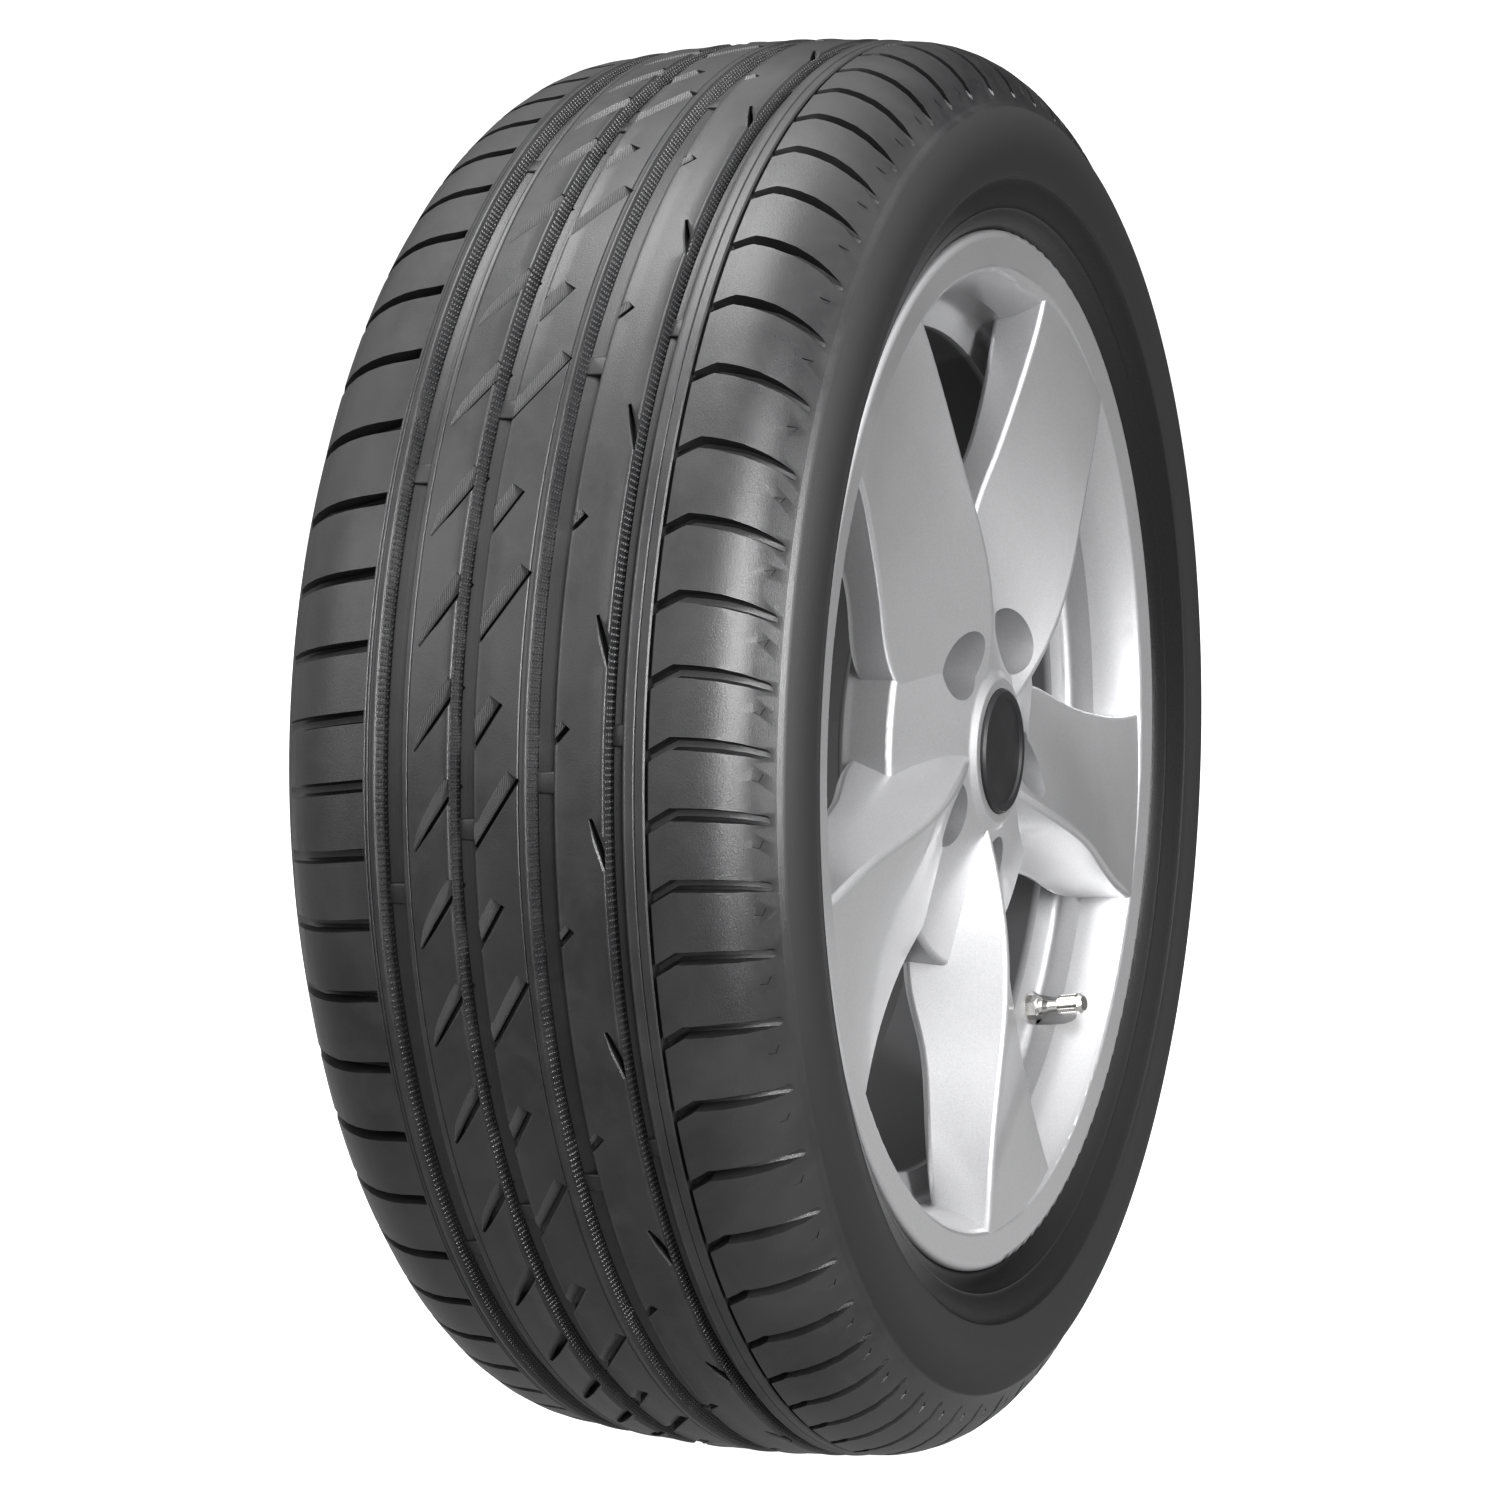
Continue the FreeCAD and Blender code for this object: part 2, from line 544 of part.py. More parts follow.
def make_valve():
    """All valve pieces, each in its place."""
    pieces = {}
    stem = spun([(AIR_BORE, STEM_FOOT_END), (STEM_FOOT, STEM_FOOT_END), (STEM_FOOT, STEM_FOOT_TOP),
                 (STEM_RADIUS, STEM_FOOT_TOP), (STEM_RADIUS, STEM_SHOULDER), (NECK_RADIUS, NECK_START),
                 (NECK_RADIUS, THREAD_START - 0.8), (THREAD_RADIUS, THREAD_START),
                 (THREAD_RADIUS, STEM_TOP - 0.5), (THREAD_RADIUS - 0.5, STEM_TOP),
                 (CORE_BORE, STEM_TOP), (CORE_BORE, CORE_BORE_START), (AIR_BORE, CORE_BORE_START)])
    pieces["valve_stem"] = stem
    hole = STEM_RADIUS + VALVE_FIT
    pieces["valve_grommet"] = spun([(hole, STEM_FOOT_TOP), (STEM_FOOT, STEM_FOOT_TOP), (STEM_FOOT, 0.0),
                                    (GROMMET_COLLAR, 0.0), (GROMMET_COLLAR, GROMMET_COLLAR_TOP),
                                    (hole, GROMMET_COLLAR_TOP)])
    washer_top = WALL + WASHER_THICK
    pieces["valve_washer"] = spun([(hole, WALL), (WASHER_RADIUS, WALL),
                                   (WASHER_RADIUS, washer_top), (hole, washer_top)])
    corner = NUT_FLATS / 2 / math.cos(math.radians(30.0))
    hexagon = [V(corner * math.cos(math.radians(60.0 * i)), corner * math.sin(math.radians(60.0 * i)),
                 washer_top) for i in range(6)]
    nut = Part.Face(Part.makePolygon(hexagon + hexagon[:1])).extrude(V(0, 0, NUT_HEIGHT))
    nut_top = washer_top + NUT_HEIGHT
    chamfer = spun([(0.0, washer_top), (corner, washer_top), (corner, nut_top - 1.0),
                    (corner - 1.6, nut_top), (0.0, nut_top)])
    bore = Part.makeCylinder(hole, NUT_HEIGHT * 2, V(0, 0, washer_top - 1.0))
    pieces["valve_nut"] = nut.common(chamfer).cut(bore)
    core = CORE_BORE - VALVE_FIT
    neck = PIN_RADIUS + VALVE_FIT
    pieces["valve_core_body"] = spun([(neck, CORE_START), (core, CORE_START), (core, CORE_TOP),
                                      (CORE_INSIDE, CORE_TOP), (CORE_INSIDE, CORE_START + CORE_LIP),
                                      (neck, CORE_START + CORE_LIP)])
    seal_foot = CORE_START - TOUCH - SEAL_THICK
    collar_top = PIN_COLLAR_Z + PIN_COLLAR
    pieces["valve_core_pin"] = spun([(0.0, PIN_END), (PIN_HEAD, PIN_END), (PIN_HEAD, seal_foot),
                                     (PIN_RADIUS, seal_foot), (PIN_RADIUS, PIN_COLLAR_Z),
                                     (PIN_HEAD, PIN_COLLAR_Z), (PIN_HEAD, collar_top),
                                     (PIN_RADIUS, collar_top), (PIN_RADIUS, PIN_TOP), (0.0, PIN_TOP)])
    pieces["valve_core_seal"] = spun([(PIN_RADIUS, seal_foot), (SEAL_RADIUS, seal_foot),
                                      (SEAL_RADIUS, seal_foot + SEAL_THICK),
                                      (PIN_RADIUS, seal_foot + SEAL_THICK)])
    low = CORE_START + CORE_LIP + SPRING_WIRE + TOUCH
    high = PIN_COLLAR_Z - SPRING_WIRE - TOUCH
    helix = Part.makeHelix((high - low) / SPRING_TURNS, high - low, SPRING_RADIUS)
    helix.translate(V(0, 0, low))
    half = SPRING_WIRE * 0.9
    loop = [V(SPRING_RADIUS - half, 0, low - half), V(SPRING_RADIUS + half, 0, low - half),
            V(SPRING_RADIUS + half, 0, low + half), V(SPRING_RADIUS - half, 0, low + half)]
    ring = Part.makePolygon(loop + loop[:1])
    pieces["valve_core_spring"] = Part.Wire(helix.Edges).makePipeShell([ring], True, True)
    cap_bore = THREAD_RADIUS + THREAD_FIT
    cap = spun([(cap_bore, CAP_START), (VCAP_RADIUS, CAP_START), (VCAP_RADIUS, VCAP_TOP - 1.6),
                (VCAP_RADIUS - 1.6, VCAP_TOP), (0.0, VCAP_TOP), (0.0, VCAP_ROOF), (cap_bore, VCAP_ROOF)])
    flutes = []
    for i in range(VCAP_FLUTES):
        a = math.radians(360.0 / VCAP_FLUTES * i)
        reach = VCAP_RADIUS + 0.15
        flutes.append(Part.makeCylinder(VCAP_FLUTE, VCAP_TOP - CAP_START - 4.4,
                                        V(reach * math.cos(a), reach * math.sin(a), CAP_START + 1.2)))
    pieces["valve_cap"] = cap.cut(flutes)
    pieces["valve_cap_seal"] = spun([(0.0, VCAP_ROOF - VCAP_SEAL), (cap_bore - TOUCH, VCAP_ROOF - VCAP_SEAL),
                                     (cap_bore - TOUCH, VCAP_ROOF), (0.0, VCAP_ROOF)])
    return {name: valve_place(shape) for name, shape in pieces.items()}


def main():
    os.makedirs("parts", exist_ok=True)
    nodes = {"tyre": make_tyre(), "alloy_wheel": make_wheel(), "centre_cap": make_cap(),
             "cap_ring": make_cap_ring()}
    nodes.update(make_valve())
    for name, shape in nodes.items():
        solid = shape.Solids[0] if len(shape.Solids) == 1 else shape
        solid.exportStep(os.path.join("parts", name + ".step"))
        box = solid.BoundBox
        print(name, len(shape.Solids), shape.isValid(), round(shape.Volume / 1000.0, 2), "cm3",
              [round(v, 1) for v in (box.XMin, box.XMax, box.YMin, box.YMax, box.ZMin, box.ZMax)])


main()
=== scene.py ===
"""Dress a packed car wheel with its tyre: rubber, painted alloy, centre cap and valve."""
import json
import logging
import math
from dataclasses import dataclass, field
from enum import Enum
from typing import Sequence

import bmesh
import bpy
from mathutils import Matrix, Vector


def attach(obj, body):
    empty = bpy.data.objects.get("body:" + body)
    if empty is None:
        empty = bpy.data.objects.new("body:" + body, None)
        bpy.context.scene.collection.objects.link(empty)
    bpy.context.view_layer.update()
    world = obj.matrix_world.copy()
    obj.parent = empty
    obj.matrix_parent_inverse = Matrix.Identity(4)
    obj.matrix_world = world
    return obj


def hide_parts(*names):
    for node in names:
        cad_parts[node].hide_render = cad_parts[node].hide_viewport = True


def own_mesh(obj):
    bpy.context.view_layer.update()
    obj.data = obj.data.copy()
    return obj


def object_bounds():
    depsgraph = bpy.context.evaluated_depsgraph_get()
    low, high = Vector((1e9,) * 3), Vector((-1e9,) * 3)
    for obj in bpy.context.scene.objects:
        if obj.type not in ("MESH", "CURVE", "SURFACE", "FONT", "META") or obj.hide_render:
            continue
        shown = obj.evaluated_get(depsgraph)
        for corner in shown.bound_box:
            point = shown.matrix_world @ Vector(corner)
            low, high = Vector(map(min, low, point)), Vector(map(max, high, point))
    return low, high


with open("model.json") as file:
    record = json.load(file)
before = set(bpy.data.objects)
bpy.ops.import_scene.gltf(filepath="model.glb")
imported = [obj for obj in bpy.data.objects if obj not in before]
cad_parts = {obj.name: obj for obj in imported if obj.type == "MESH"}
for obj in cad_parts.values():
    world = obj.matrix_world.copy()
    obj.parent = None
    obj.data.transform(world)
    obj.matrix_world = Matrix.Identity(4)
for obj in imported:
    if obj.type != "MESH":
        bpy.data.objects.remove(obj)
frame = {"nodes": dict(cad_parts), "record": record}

LOG = logging.getLogger("wheel")
CAD_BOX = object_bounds()
MM = 0.001
MERGE_MM = 1e-4
WHITE = (1.0, 1.0, 1.0, 1.0)

Colour = tuple[float, float, float, float]
Pair = tuple[float, float]


class Body(Enum):
    """Bodies that pieces ride on."""

    WHEEL = "wheel"
    PIN = "core_pin"
    CAP_SEAL = "cap_seal"
    CAP = "cap"


class Slot(Enum):
    """Material slots of the record."""

    RUBBER = "tyre_rubber"
    SILVER = "silver_paint"
    PLASTIC = "cap_plastic"
    SPRING = "spring_steel"
    NICKEL = "nickel"
    SEAL = "seal_rubber"
    BRASS = "brass"


class Wire:
    """Short hand for placing and linking the nodes of one tree."""

    def __init__(self, tree: bpy.types.NodeTree) -> None:
        """Keep the tree that nodes go into."""
        self.tree = tree

    def add(self, kind: str, **values: object) -> bpy.types.Node:
        """Add a node.

        Args:
            kind: Blender's node type name.
            values: node properties, or input sockets by name with _ for a space.

        Returns:
            The new node.
        """
        node = self.tree.nodes.new(kind)
        for name, value in values.items():
            if hasattr(node, name):
                setattr(node, name, value)
            else:
                self.set(node, name.replace("_", " "), value)
        return node

    def set(self, node: bpy.types.Node, name: str | int, value: object) -> None:
        """Set an input socket to a constant, or link an output socket to it."""
        socket = node.inputs[name]
        if isinstance(value, bpy.types.NodeSocket):
            self.tree.links.new(value, socket)
        else:
            socket.default_value = value

    def math(self, step: str, first: object, second: object = 0.0) -> bpy.types.NodeSocket:
        """One step of arithmetic.

        Args:
            step: name of the operation.
            first: number or socket.
            second: number or socket.

        Returns:
            The result's socket.
        """
        node = self.tree.nodes.new("ShaderNodeMath")
        node.operation = step
        self.set(node, 0, first)
        self.set(node, 1, second)
        return node.outputs[0]

    def ramp(self, value: object, low: float, high: float, start: float = 0.0,
             end: float = 1.0) -> bpy.types.NodeSocket:
        """Map a value between two ends, held at the ends."""
        node = self.tree.nodes.new("ShaderNodeMapRange")
        for index, number in enumerate((value, low, high, start, end)):
            self.set(node, index, number)
        return node.outputs[0]

    def blend(self, share: object, first: object, second: object) -> bpy.types.NodeSocket:
        """Mix two colours by a share."""
        node = self.tree.nodes.new("ShaderNodeMix")
        node.data_type = "RGBA"
        self.set(node, 0, share)
        self.set(node, 6, first)
        self.set(node, 7, second)
        return node.outputs[2]


def new_group(name: str, inputs: dict[str, float],
              outputs: Sequence[str]) -> tuple[Wire, dict, bpy.types.Node]:
    """Start a shader node group with number inputs and number outputs.

    Args:
        name: the group's name.
        inputs: each input's name and value at first.
        outputs: each output's name.

    Returns:
        The wire of the group, its input sockets by name, and its output node.
    """
    tree = bpy.data.node_groups.new(name, "ShaderNodeTree")
    for label, value in inputs.items():
        socket = tree.interface.new_socket(label, in_out="INPUT", socket_type="NodeSocketFloat")
        socket.default_value = value
    for label in outputs:
        tree.interface.new_socket(label, in_out="OUTPUT", socket_type="NodeSocketFloat")
    wire = Wire(tree)
    source = tree.nodes.new("NodeGroupInput")
    sink = tree.nodes.new("NodeGroupOutput")
    return wire, {label: source.outputs[label] for label in inputs}, sink


class Effects:
    """Node groups that several finishes share."""

    grain_detail = 4.0
    grain_band = (0.35, 0.65)
    film_detail = 6.0
    film_roughness = 0.62
    film_distortion = 0.4
    film_band = (0.42, 0.72)

    def __init__(self) -> None:
        """Build each group once."""
        self.place = self.make_place()
        self.grain = self.make_grain()
        self.film = self.make_film()

    @staticmethod
    def make_place() -> bpy.types.NodeTree:
        """Where a point lies on the wheel: radius, distance along the axle and angle."""
        wire, _, sink = new_group("wheel_place", {}, ("Radius", "Along", "Angle"))
        spot = wire.add("ShaderNodeTexCoord")
        axes = wire.add("ShaderNodeSeparateXYZ", Vector=spot.outputs["Object"])
        across, along, high = axes.outputs
        flat = wire.math("ADD", wire.math("MULTIPLY", across, across), wire.math("MULTIPLY", high, high))
        wire.set(sink, "Radius", wire.math("SQRT", flat))
        wire.set(sink, "Along", along)
        wire.set(sink, "Angle", wire.math("ARCTAN2", high, across))
        return wire.tree

    @staticmethod
    def make_grain() -> bpy.types.NodeTree:
        """Fine moulded or cast grain: a height and a mask of the same scale."""
        wire, given, sink = new_group("surface_grain", {"Scale": 900.0, "Roughness": 0.6},
                                      ("Height", "Mask"))
        spot = wire.add("ShaderNodeTexCoord")
        noise = wire.add("ShaderNodeTexNoise", Vector=spot.outputs["Object"], Scale=given["Scale"],
                         Detail=Effects.grain_detail, Roughness=given["Roughness"])
        wire.set(sink, "Height", noise.outputs[0])
        wire.set(sink, "Mask", wire.ramp(noise.outputs[0], *Effects.grain_band))
        return wire.tree

    @staticmethod
    def make_film() -> bpy.types.NodeTree:
        """A thin uneven film of dust or handling marks, patchy at hand scale."""
        wire, given, sink = new_group("dust_film", {"Scale": 14.0, "Amount": 1.0}, ("Mask",))
        spot = wire.add("ShaderNodeTexCoord")
        broad = wire.add("ShaderNodeTexNoise", Vector=spot.outputs["Object"], Scale=given["Scale"],
                         Detail=Effects.film_detail, Roughness=Effects.film_roughness,
                         Distortion=Effects.film_distortion)
        mask = wire.ramp(broad.outputs[0], *Effects.film_band)
        wire.set(sink, "Mask", wire.math("MULTIPLY", mask, given["Amount"]))
        return wire.tree


@dataclass(frozen=True)
class Finish:
    """What every finish holds: its material's name and base colour.

    In the finishes, grain is a scale and a roughness, film and streak are a scale and an amount,
    a pair for rough goes from least to most, and depth is the height of the bumps in metres.
    """

    name: str
    colour: Colour

    def start(self) -> tuple[bpy.types.Material, Wire, bpy.types.Node]:
        """A new material with its wire and its shader."""
        material = bpy.data.materials.new(self.name)
        material.use_nodes = True
        wire = Wire(material.node_tree)
        return material, wire, material.node_tree.nodes["Principled BSDF"]

    @staticmethod
    def group(wire: Wire, tree: bpy.types.NodeTree, **values: object) -> bpy.types.Node:
        """Place a shared effect in a material with its own values."""
        node = wire.tree.nodes.new("ShaderNodeGroup")
        node.node_tree = tree
        for name, value in values.items():
            wire.set(node, name, value)
        return node

    @staticmethod
    def bump(wire: Wire, shader: bpy.types.Node, height: object, depth: float) -> None:
        """Raise the surface a little by a height from 0 to 1.

        Args:
            wire: the material's wire.
            shader: the shader to feed.
            height: socket with the height.
            depth: how far 1 stands out, in metres.
        """
        node = wire.add("ShaderNodeBump", Strength=1.0, Distance=depth, Height=height)
        wire.set(shader, "Normal", node.outputs[0])


@dataclass(frozen=True)
class TyreRubber(Finish):
    """Satin tyre rubber, darker inside the shoulder's ring and matt between the sidewall's rings.

    Attributes:
        dark: colour of the sidewall.
        dust_and_sheen: colour of the film and streak marks, and of the hatch lines as a painted sheen.
        ring: radius of the shoulder's ring.
        line: radius of the sidewall's lower ring.
        hatch: strength of fine hatching round the tyre, whose lines are raised by the bump and painted pale
            as a painted sheen.
        wall_lift: how much paler the matt band is than the rest of the sidewall.
    """

    dark: Colour = (0.007, 0.007, 0.0075, 1.0)
    dust_and_sheen: Colour = (0.085, 0.085, 0.086, 1.0)
    ring: float = 0.2893
    line: float = 0.2584
    ring_soft: float = 0.0006
    hatch: float = 0.0
    hatch_step: float = 0.0011
    hatch_band: Pair = (-0.4, 0.7)
    hatch_smooth: float = 0.7
    grain: Pair = (1400.0, 0.7)
    film: Pair = (11.0, 0.55)
    streak: Pair = (60.0, 0.35)
    wall_lift: float = 1.5
    dust_share: float = 0.5
    speck_rough: float = 0.06
    rough: Pair = (0.27, 0.40)
    matt_rough: float = 0.34
    depth: float = 0.00012
    specular: float = 0.55

    def make(self, effects: Effects) -> bpy.types.Material:
        """Build the material."""
        material, wire, shader = self.start()
        place = self.group(wire, effects.place)
        grain = self.group(wire, effects.grain, Scale=self.grain[0], Roughness=self.grain[1])
        film = self.group(wire, effects.film, Scale=self.film[0], Amount=self.film[1])
        streak = self.group(wire, effects.film, Scale=self.streak[0], Amount=self.streak[1])
        outer = wire.ramp(place.outputs["Radius"], self.ring - self.ring_soft, self.ring + self.ring_soft)
        inside = wire.ramp(place.outputs["Radius"], self.line - self.ring_soft, self.line + self.ring_soft)
        marks = wire.math("MAXIMUM", film.outputs[0], streak.outputs[0])
        marks = wire.math("MULTIPLY", marks, outer)
        paler = tuple(self.wall_lift * part for part in self.dark[:3]) + (1.0,)
        wall = wire.blend(inside, self.dark, paler)
        base = wire.blend(outer, wall, self.colour)
        colour = wire.blend(wire.math("MULTIPLY", marks, self.dust_share), base, self.dust_and_sheen)
        speck = wire.math("MULTIPLY", grain.outputs["Mask"], self.speck_rough)
        rough = wire.math("ADD", wire.ramp(marks, 0.0, 1.0, *self.rough), speck)
        matt = wire.math("SUBTRACT", inside, outer)
        rough = wire.math("ADD", rough, wire.math("MULTIPLY", matt, self.matt_rough))
        height = wire.math("MULTIPLY", grain.outputs["Height"], 1.0 - self.hatch_smooth * self.hatch)
        # Hatch lines are raised by the bump and also painted pale: a painted sheen where light catches their
        # fine ribs.
        if self.hatch:
            arc = wire.math("MULTIPLY", place.outputs["Angle"], place.outputs["Radius"])
            wave = wire.math("SINE", wire.math("MULTIPLY", arc, 2.0 * math.pi / self.hatch_step))
            line = wire.ramp(wave, *self.hatch_band)
            colour = wire.blend(wire.math("MULTIPLY", line, self.hatch), colour, self.dust_and_sheen)
            height = wire.math("ADD", height, line)
        wire.set(shader, "Base Color", colour)
        wire.set(shader, "Roughness", rough)
        self.bump(wire, shader, height, self.depth)
        shader.inputs["Specular IOR Level"].default_value = self.specular
        return material


@dataclass(frozen=True)
class SilverPaint(Finish):
    """Silver paint with fine metal flake under a clear coat, and the barrel behind the face painted dark as
    painted shade.

    Attributes:
        shaded_barrel: colour of the barrel behind the face, a painted shade.
        shade_from: place along the axle where the silver starts to give way to the painted shade.
        shade_to: place along the axle where the painted shade is full.
        glint: least and most brightness of a flake.
    """

    flake_size: float = 2600.0
    metallic: float = 0.82
    shaded_barrel: Colour = (0.045, 0.045, 0.047, 1.0)
    shade_from: float = -0.060
    shade_to: float = -0.052
    barrel_rough: float = 0.2
    film: Pair = (9.0, 1.0)
    film_rough: float = 0.05
    glint: Pair = (0.92, 1.06)
    rough: Pair = (0.38, 0.48)
    coat: float = 0.3
    coat_rough: float = 0.08
    depth: float = 0.000012

    def make(self, effects: Effects) -> bpy.types.Material:
        """Build the material."""
        material, wire, shader = self.start()
        spot = wire.add("ShaderNodeTexCoord")
        flake = wire.add("ShaderNodeTexVoronoi", Vector=spot.outputs["Object"], Scale=self.flake_size)
        tone = wire.add("ShaderNodeSeparateColor", Color=flake.outputs["Color"])
        film = self.group(wire, effects.film, Scale=self.film[0], Amount=self.film[1])
        glint = wire.ramp(tone.outputs[0], 0.0, 1.0, *self.glint)
        bright = wire.add("ShaderNodeMix", data_type="RGBA", blend_type="MULTIPLY")
        wire.set(bright, 0, 1.0)
        wire.set(bright, 6, self.colour)
        wire.set(bright, 7, glint)
        rough = wire.ramp(tone.outputs[1], 0.0, 1.0, *self.rough)
        place = self.group(wire, effects.place)
        # Painted shade: the barrel behind the face is blended to a dark colour, and there it is also rougher,
        # not metallic and without coat.
        inside = wire.ramp(place.outputs["Along"], self.shade_from, self.shade_to)
        wire.set(shader, "Base Color", wire.blend(inside, bright.outputs[2], self.shaded_barrel))
        rough = wire.math("ADD", rough, wire.math("MULTIPLY", film.outputs[0], self.film_rough))
        rough = wire.math("ADD", rough, wire.math("MULTIPLY", inside, self.barrel_rough))
        wire.set(shader, "Roughness", rough)
        wire.set(shader, "Metallic", wire.ramp(inside, 0.0, 1.0, self.metallic, 0.0))
        wire.set(shader, "Coat Weight", wire.ramp(inside, 0.0, 1.0, self.coat, 0.0))
        shader.inputs["Coat Roughness"].default_value = self.coat_rough
        self.bump(wire, shader, tone.outputs[2], self.depth)
        return material


@dataclass(frozen=True)
class Metal(Finish):
    """Bare or plated metal with a light handling film."""

    rough: float = 0.2
    rough_span: float = 0.12
    grain: Pair = (1200.0, 0.6)
    film: Pair = (180.0, 0.5)
    dull: float = 0.55
    depth: float = 0.00001

    def make(self, effects: Effects) -> bpy.types.Material:
        """Build the material."""
        material, wire, shader = self.start()
        grain = self.group(wire, effects.grain, Scale=self.grain[0], Roughness=self.grain[1])
        film = self.group(wire, effects.film, Scale=self.film[0], Amount=self.film[1])
        dull = tuple(self.dull * part for part in self.colour[:3]) + (1.0,)
        wire.set(shader, "Base Color", wire.blend(film.outputs[0], self.colour, dull))
        rough = wire.ramp(grain.outputs["Mask"], 0.0, 1.0, self.rough, self.rough + self.rough_span)
        wire.set(shader, "Roughness", rough)
        shader.inputs["Metallic"].default_value = 1.0
        self.bump(wire, shader, grain.outputs["Height"], self.depth)
        return material


@dataclass(frozen=True)
class Moulded(Finish):
    """Moulded plastic or seal rubber with a fine grain."""

    rough: float = 0.45
    rough_span: float = 0.1
    grain: Pair = (1600.0, 0.55)
    film: Pair = (40.0, 0.4)
    pale: Pair = (1.7, 0.01)
    depth: float = 0.00006

    def make(self, effects: Effects) -> bpy.types.Material:
        """Build the material."""
        material, wire, shader = self.start()
        grain = self.group(wire, effects.grain, Scale=self.grain[0], Roughness=self.grain[1])
        film = self.group(wire, effects.film, Scale=self.film[0], Amount=self.film[1])
        times, plus = self.pale
        pale = tuple(times * part + plus for part in self.colour[:3]) + (1.0,)
        wire.set(shader, "Base Color", wire.blend(film.outputs[0], self.colour, pale))
        rough = wire.ramp(grain.outputs["Mask"], 0.0, 1.0, self.rough, self.rough + self.rough_span)
        wire.set(shader, "Roughness", rough)
        self.bump(wire, shader, grain.outputs["Height"], self.depth)
        return material


class Workshop:
    """All finishes by slot, and the steps that every piece goes through."""

    def __init__(self) -> None:
        """Mix every finish once."""
        effects = Effects()
        # Chamfer faces with hatching get a paler rubber and pale hatch lines: a painted sheen where light
        # catches their fine ribs.
        self.sheen_hatched = TyreRubber("tyre_rubber_hatched_sheen", (0.03, 0.03, 0.031, 1.0), hatch=0.8).make(effects)
        self.finish = {
            Slot.RUBBER: TyreRubber("tyre_rubber_satin", (0.014, 0.014, 0.015, 1.0)).make(effects),
            Slot.SILVER: SilverPaint("silver_flake_paint", (0.5, 0.5, 0.508, 1.0)).make(effects),
            Slot.PLASTIC: Moulded("cap_plastic_grey", (0.012, 0.012, 0.013, 1.0), 0.34).make(effects),
            Slot.SPRING: Metal("spring_steel_drawn", (0.55, 0.55, 0.56, 1.0), 0.28).make(effects),
            Slot.NICKEL: Metal("nickel_plate", (0.78, 0.77, 0.75, 1.0), 0.12).make(effects),
            Slot.SEAL: Moulded("seal_rubber_black", (0.02, 0.02, 0.02, 1.0), 0.55).make(effects),
            Slot.BRASS: Metal("brass_turned", (0.75, 0.55, 0.22, 1.0), 0.22).make(effects),
        }

    def dress_nodes(self) -> None:
        """Give every node of the frame the finish of its slot."""
        slots = {row["node"]: Slot(row["material_slot"]) for row in frame["record"]["subparts"]}
        for name, node in frame["nodes"].items():
            node.data.materials.clear()
            node.data.materials.append(self.finish[slots[name]])
            LOG.info("dressed %s with %s", name, slots[name].value)

    @staticmethod
    def loose(name: str, shape: bmesh.types.BMesh) -> bpy.types.Object:
        """An object for a step in between, from a shape in millimetres."""
        mesh = bpy.data.meshes.new(name)
        shape.to_mesh(mesh)
        shape.free()
        thing = bpy.data.objects.new(name, mesh)
        bpy.context.scene.collection.objects.link(thing)
        return thing

    def place(self, name: str, shape: bmesh.types.BMesh, body: Body, slot: Slot, sharp: float,
              nodes: Sequence[str] = ()) -> bpy.types.Object:
        """Finish a piece: metres, smooth shading, finish, body and slot.

        Args:
            name: the piece's name.
            shape: its shape in millimetres, in the frame of the wheel.
            body: the body that it rides on.
            slot: its material slot.
            sharp: angle in degrees above which an edge stays sharp.
            nodes: nodes of the frame that it stands for.

        Returns:
            The finished object.
        """
        bmesh.ops.scale(shape, vec=(MM, MM, MM), verts=shape.verts)
        for face in shape.faces:
            face.smooth = True
        thing = self.loose(name, shape)
        thing.data.set_sharp_from_angle(angle=math.radians(sharp))
        thing.data.materials.append(self.finish[slot])
        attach(thing, body.value)
        if nodes:
            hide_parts(*nodes)
        LOG.info("made %s, %d faces", name, len(thing.data.polygons))
        return thing


def soften(corners: Sequence[tuple[float, float, float]], steps: int = 4) -> list[Pair]:
    """Points of a line through corners, each rounded by its own radius.

    Args:
        corners: radius from the axle, distance along it and rounding of each corner.
        steps: parts of each rounded corner.

    Returns:
        The points, from the first corner to the last.
    """
    line = []
    for index, (r, y, rounding) in enumerate(corners):
        here = Vector((r, y))
        if not rounding:
            line.append((r, y))
            continue
        back = (Vector(corners[index - 1][:2]) - here).normalized()
        onward = (Vector(corners[index + 1][:2]) - here).normalized()
        half = back.angle(onward) / 2.0
        centre = here + (back + onward).normalized() * rounding / math.sin(half)
        reach = rounding / math.tan(half)
        first = here + back * reach - centre
        last = here + onward * reach - centre
        for step in range(steps + 1):
            line.append(tuple(centre + first.slerp(last, step / steps)))
    return line


def circle_through(a: Sequence[float], b: Sequence[float], c: Sequence[float]) -> tuple[float, float, float]:
    """Centre and radius of the circle through three points of a section."""
    (ax, ay), (bx, by), (cx, cy) = a, b, c
    turn = 2.0 * (ax * (by - cy) + bx * (cy - ay) + cx * (ay - by))
    aa, bb, cc = ax * ax + ay * ay, bx * bx + by * by, cx * cx + cy * cy
    x = (aa * (by - cy) + bb * (cy - ay) + cc * (ay - by)) / turn
    y = (aa * (cx - bx) + bb * (ax - cx) + cc * (bx - ax)) / turn
    return x, y, math.hypot(ax - x, ay - y)


def about_axle(degrees: float) -> Matrix:
    """Turn about the axle, from +X towards +Z."""
    return Matrix.Rotation(-math.radians(degrees), 4, "Y")


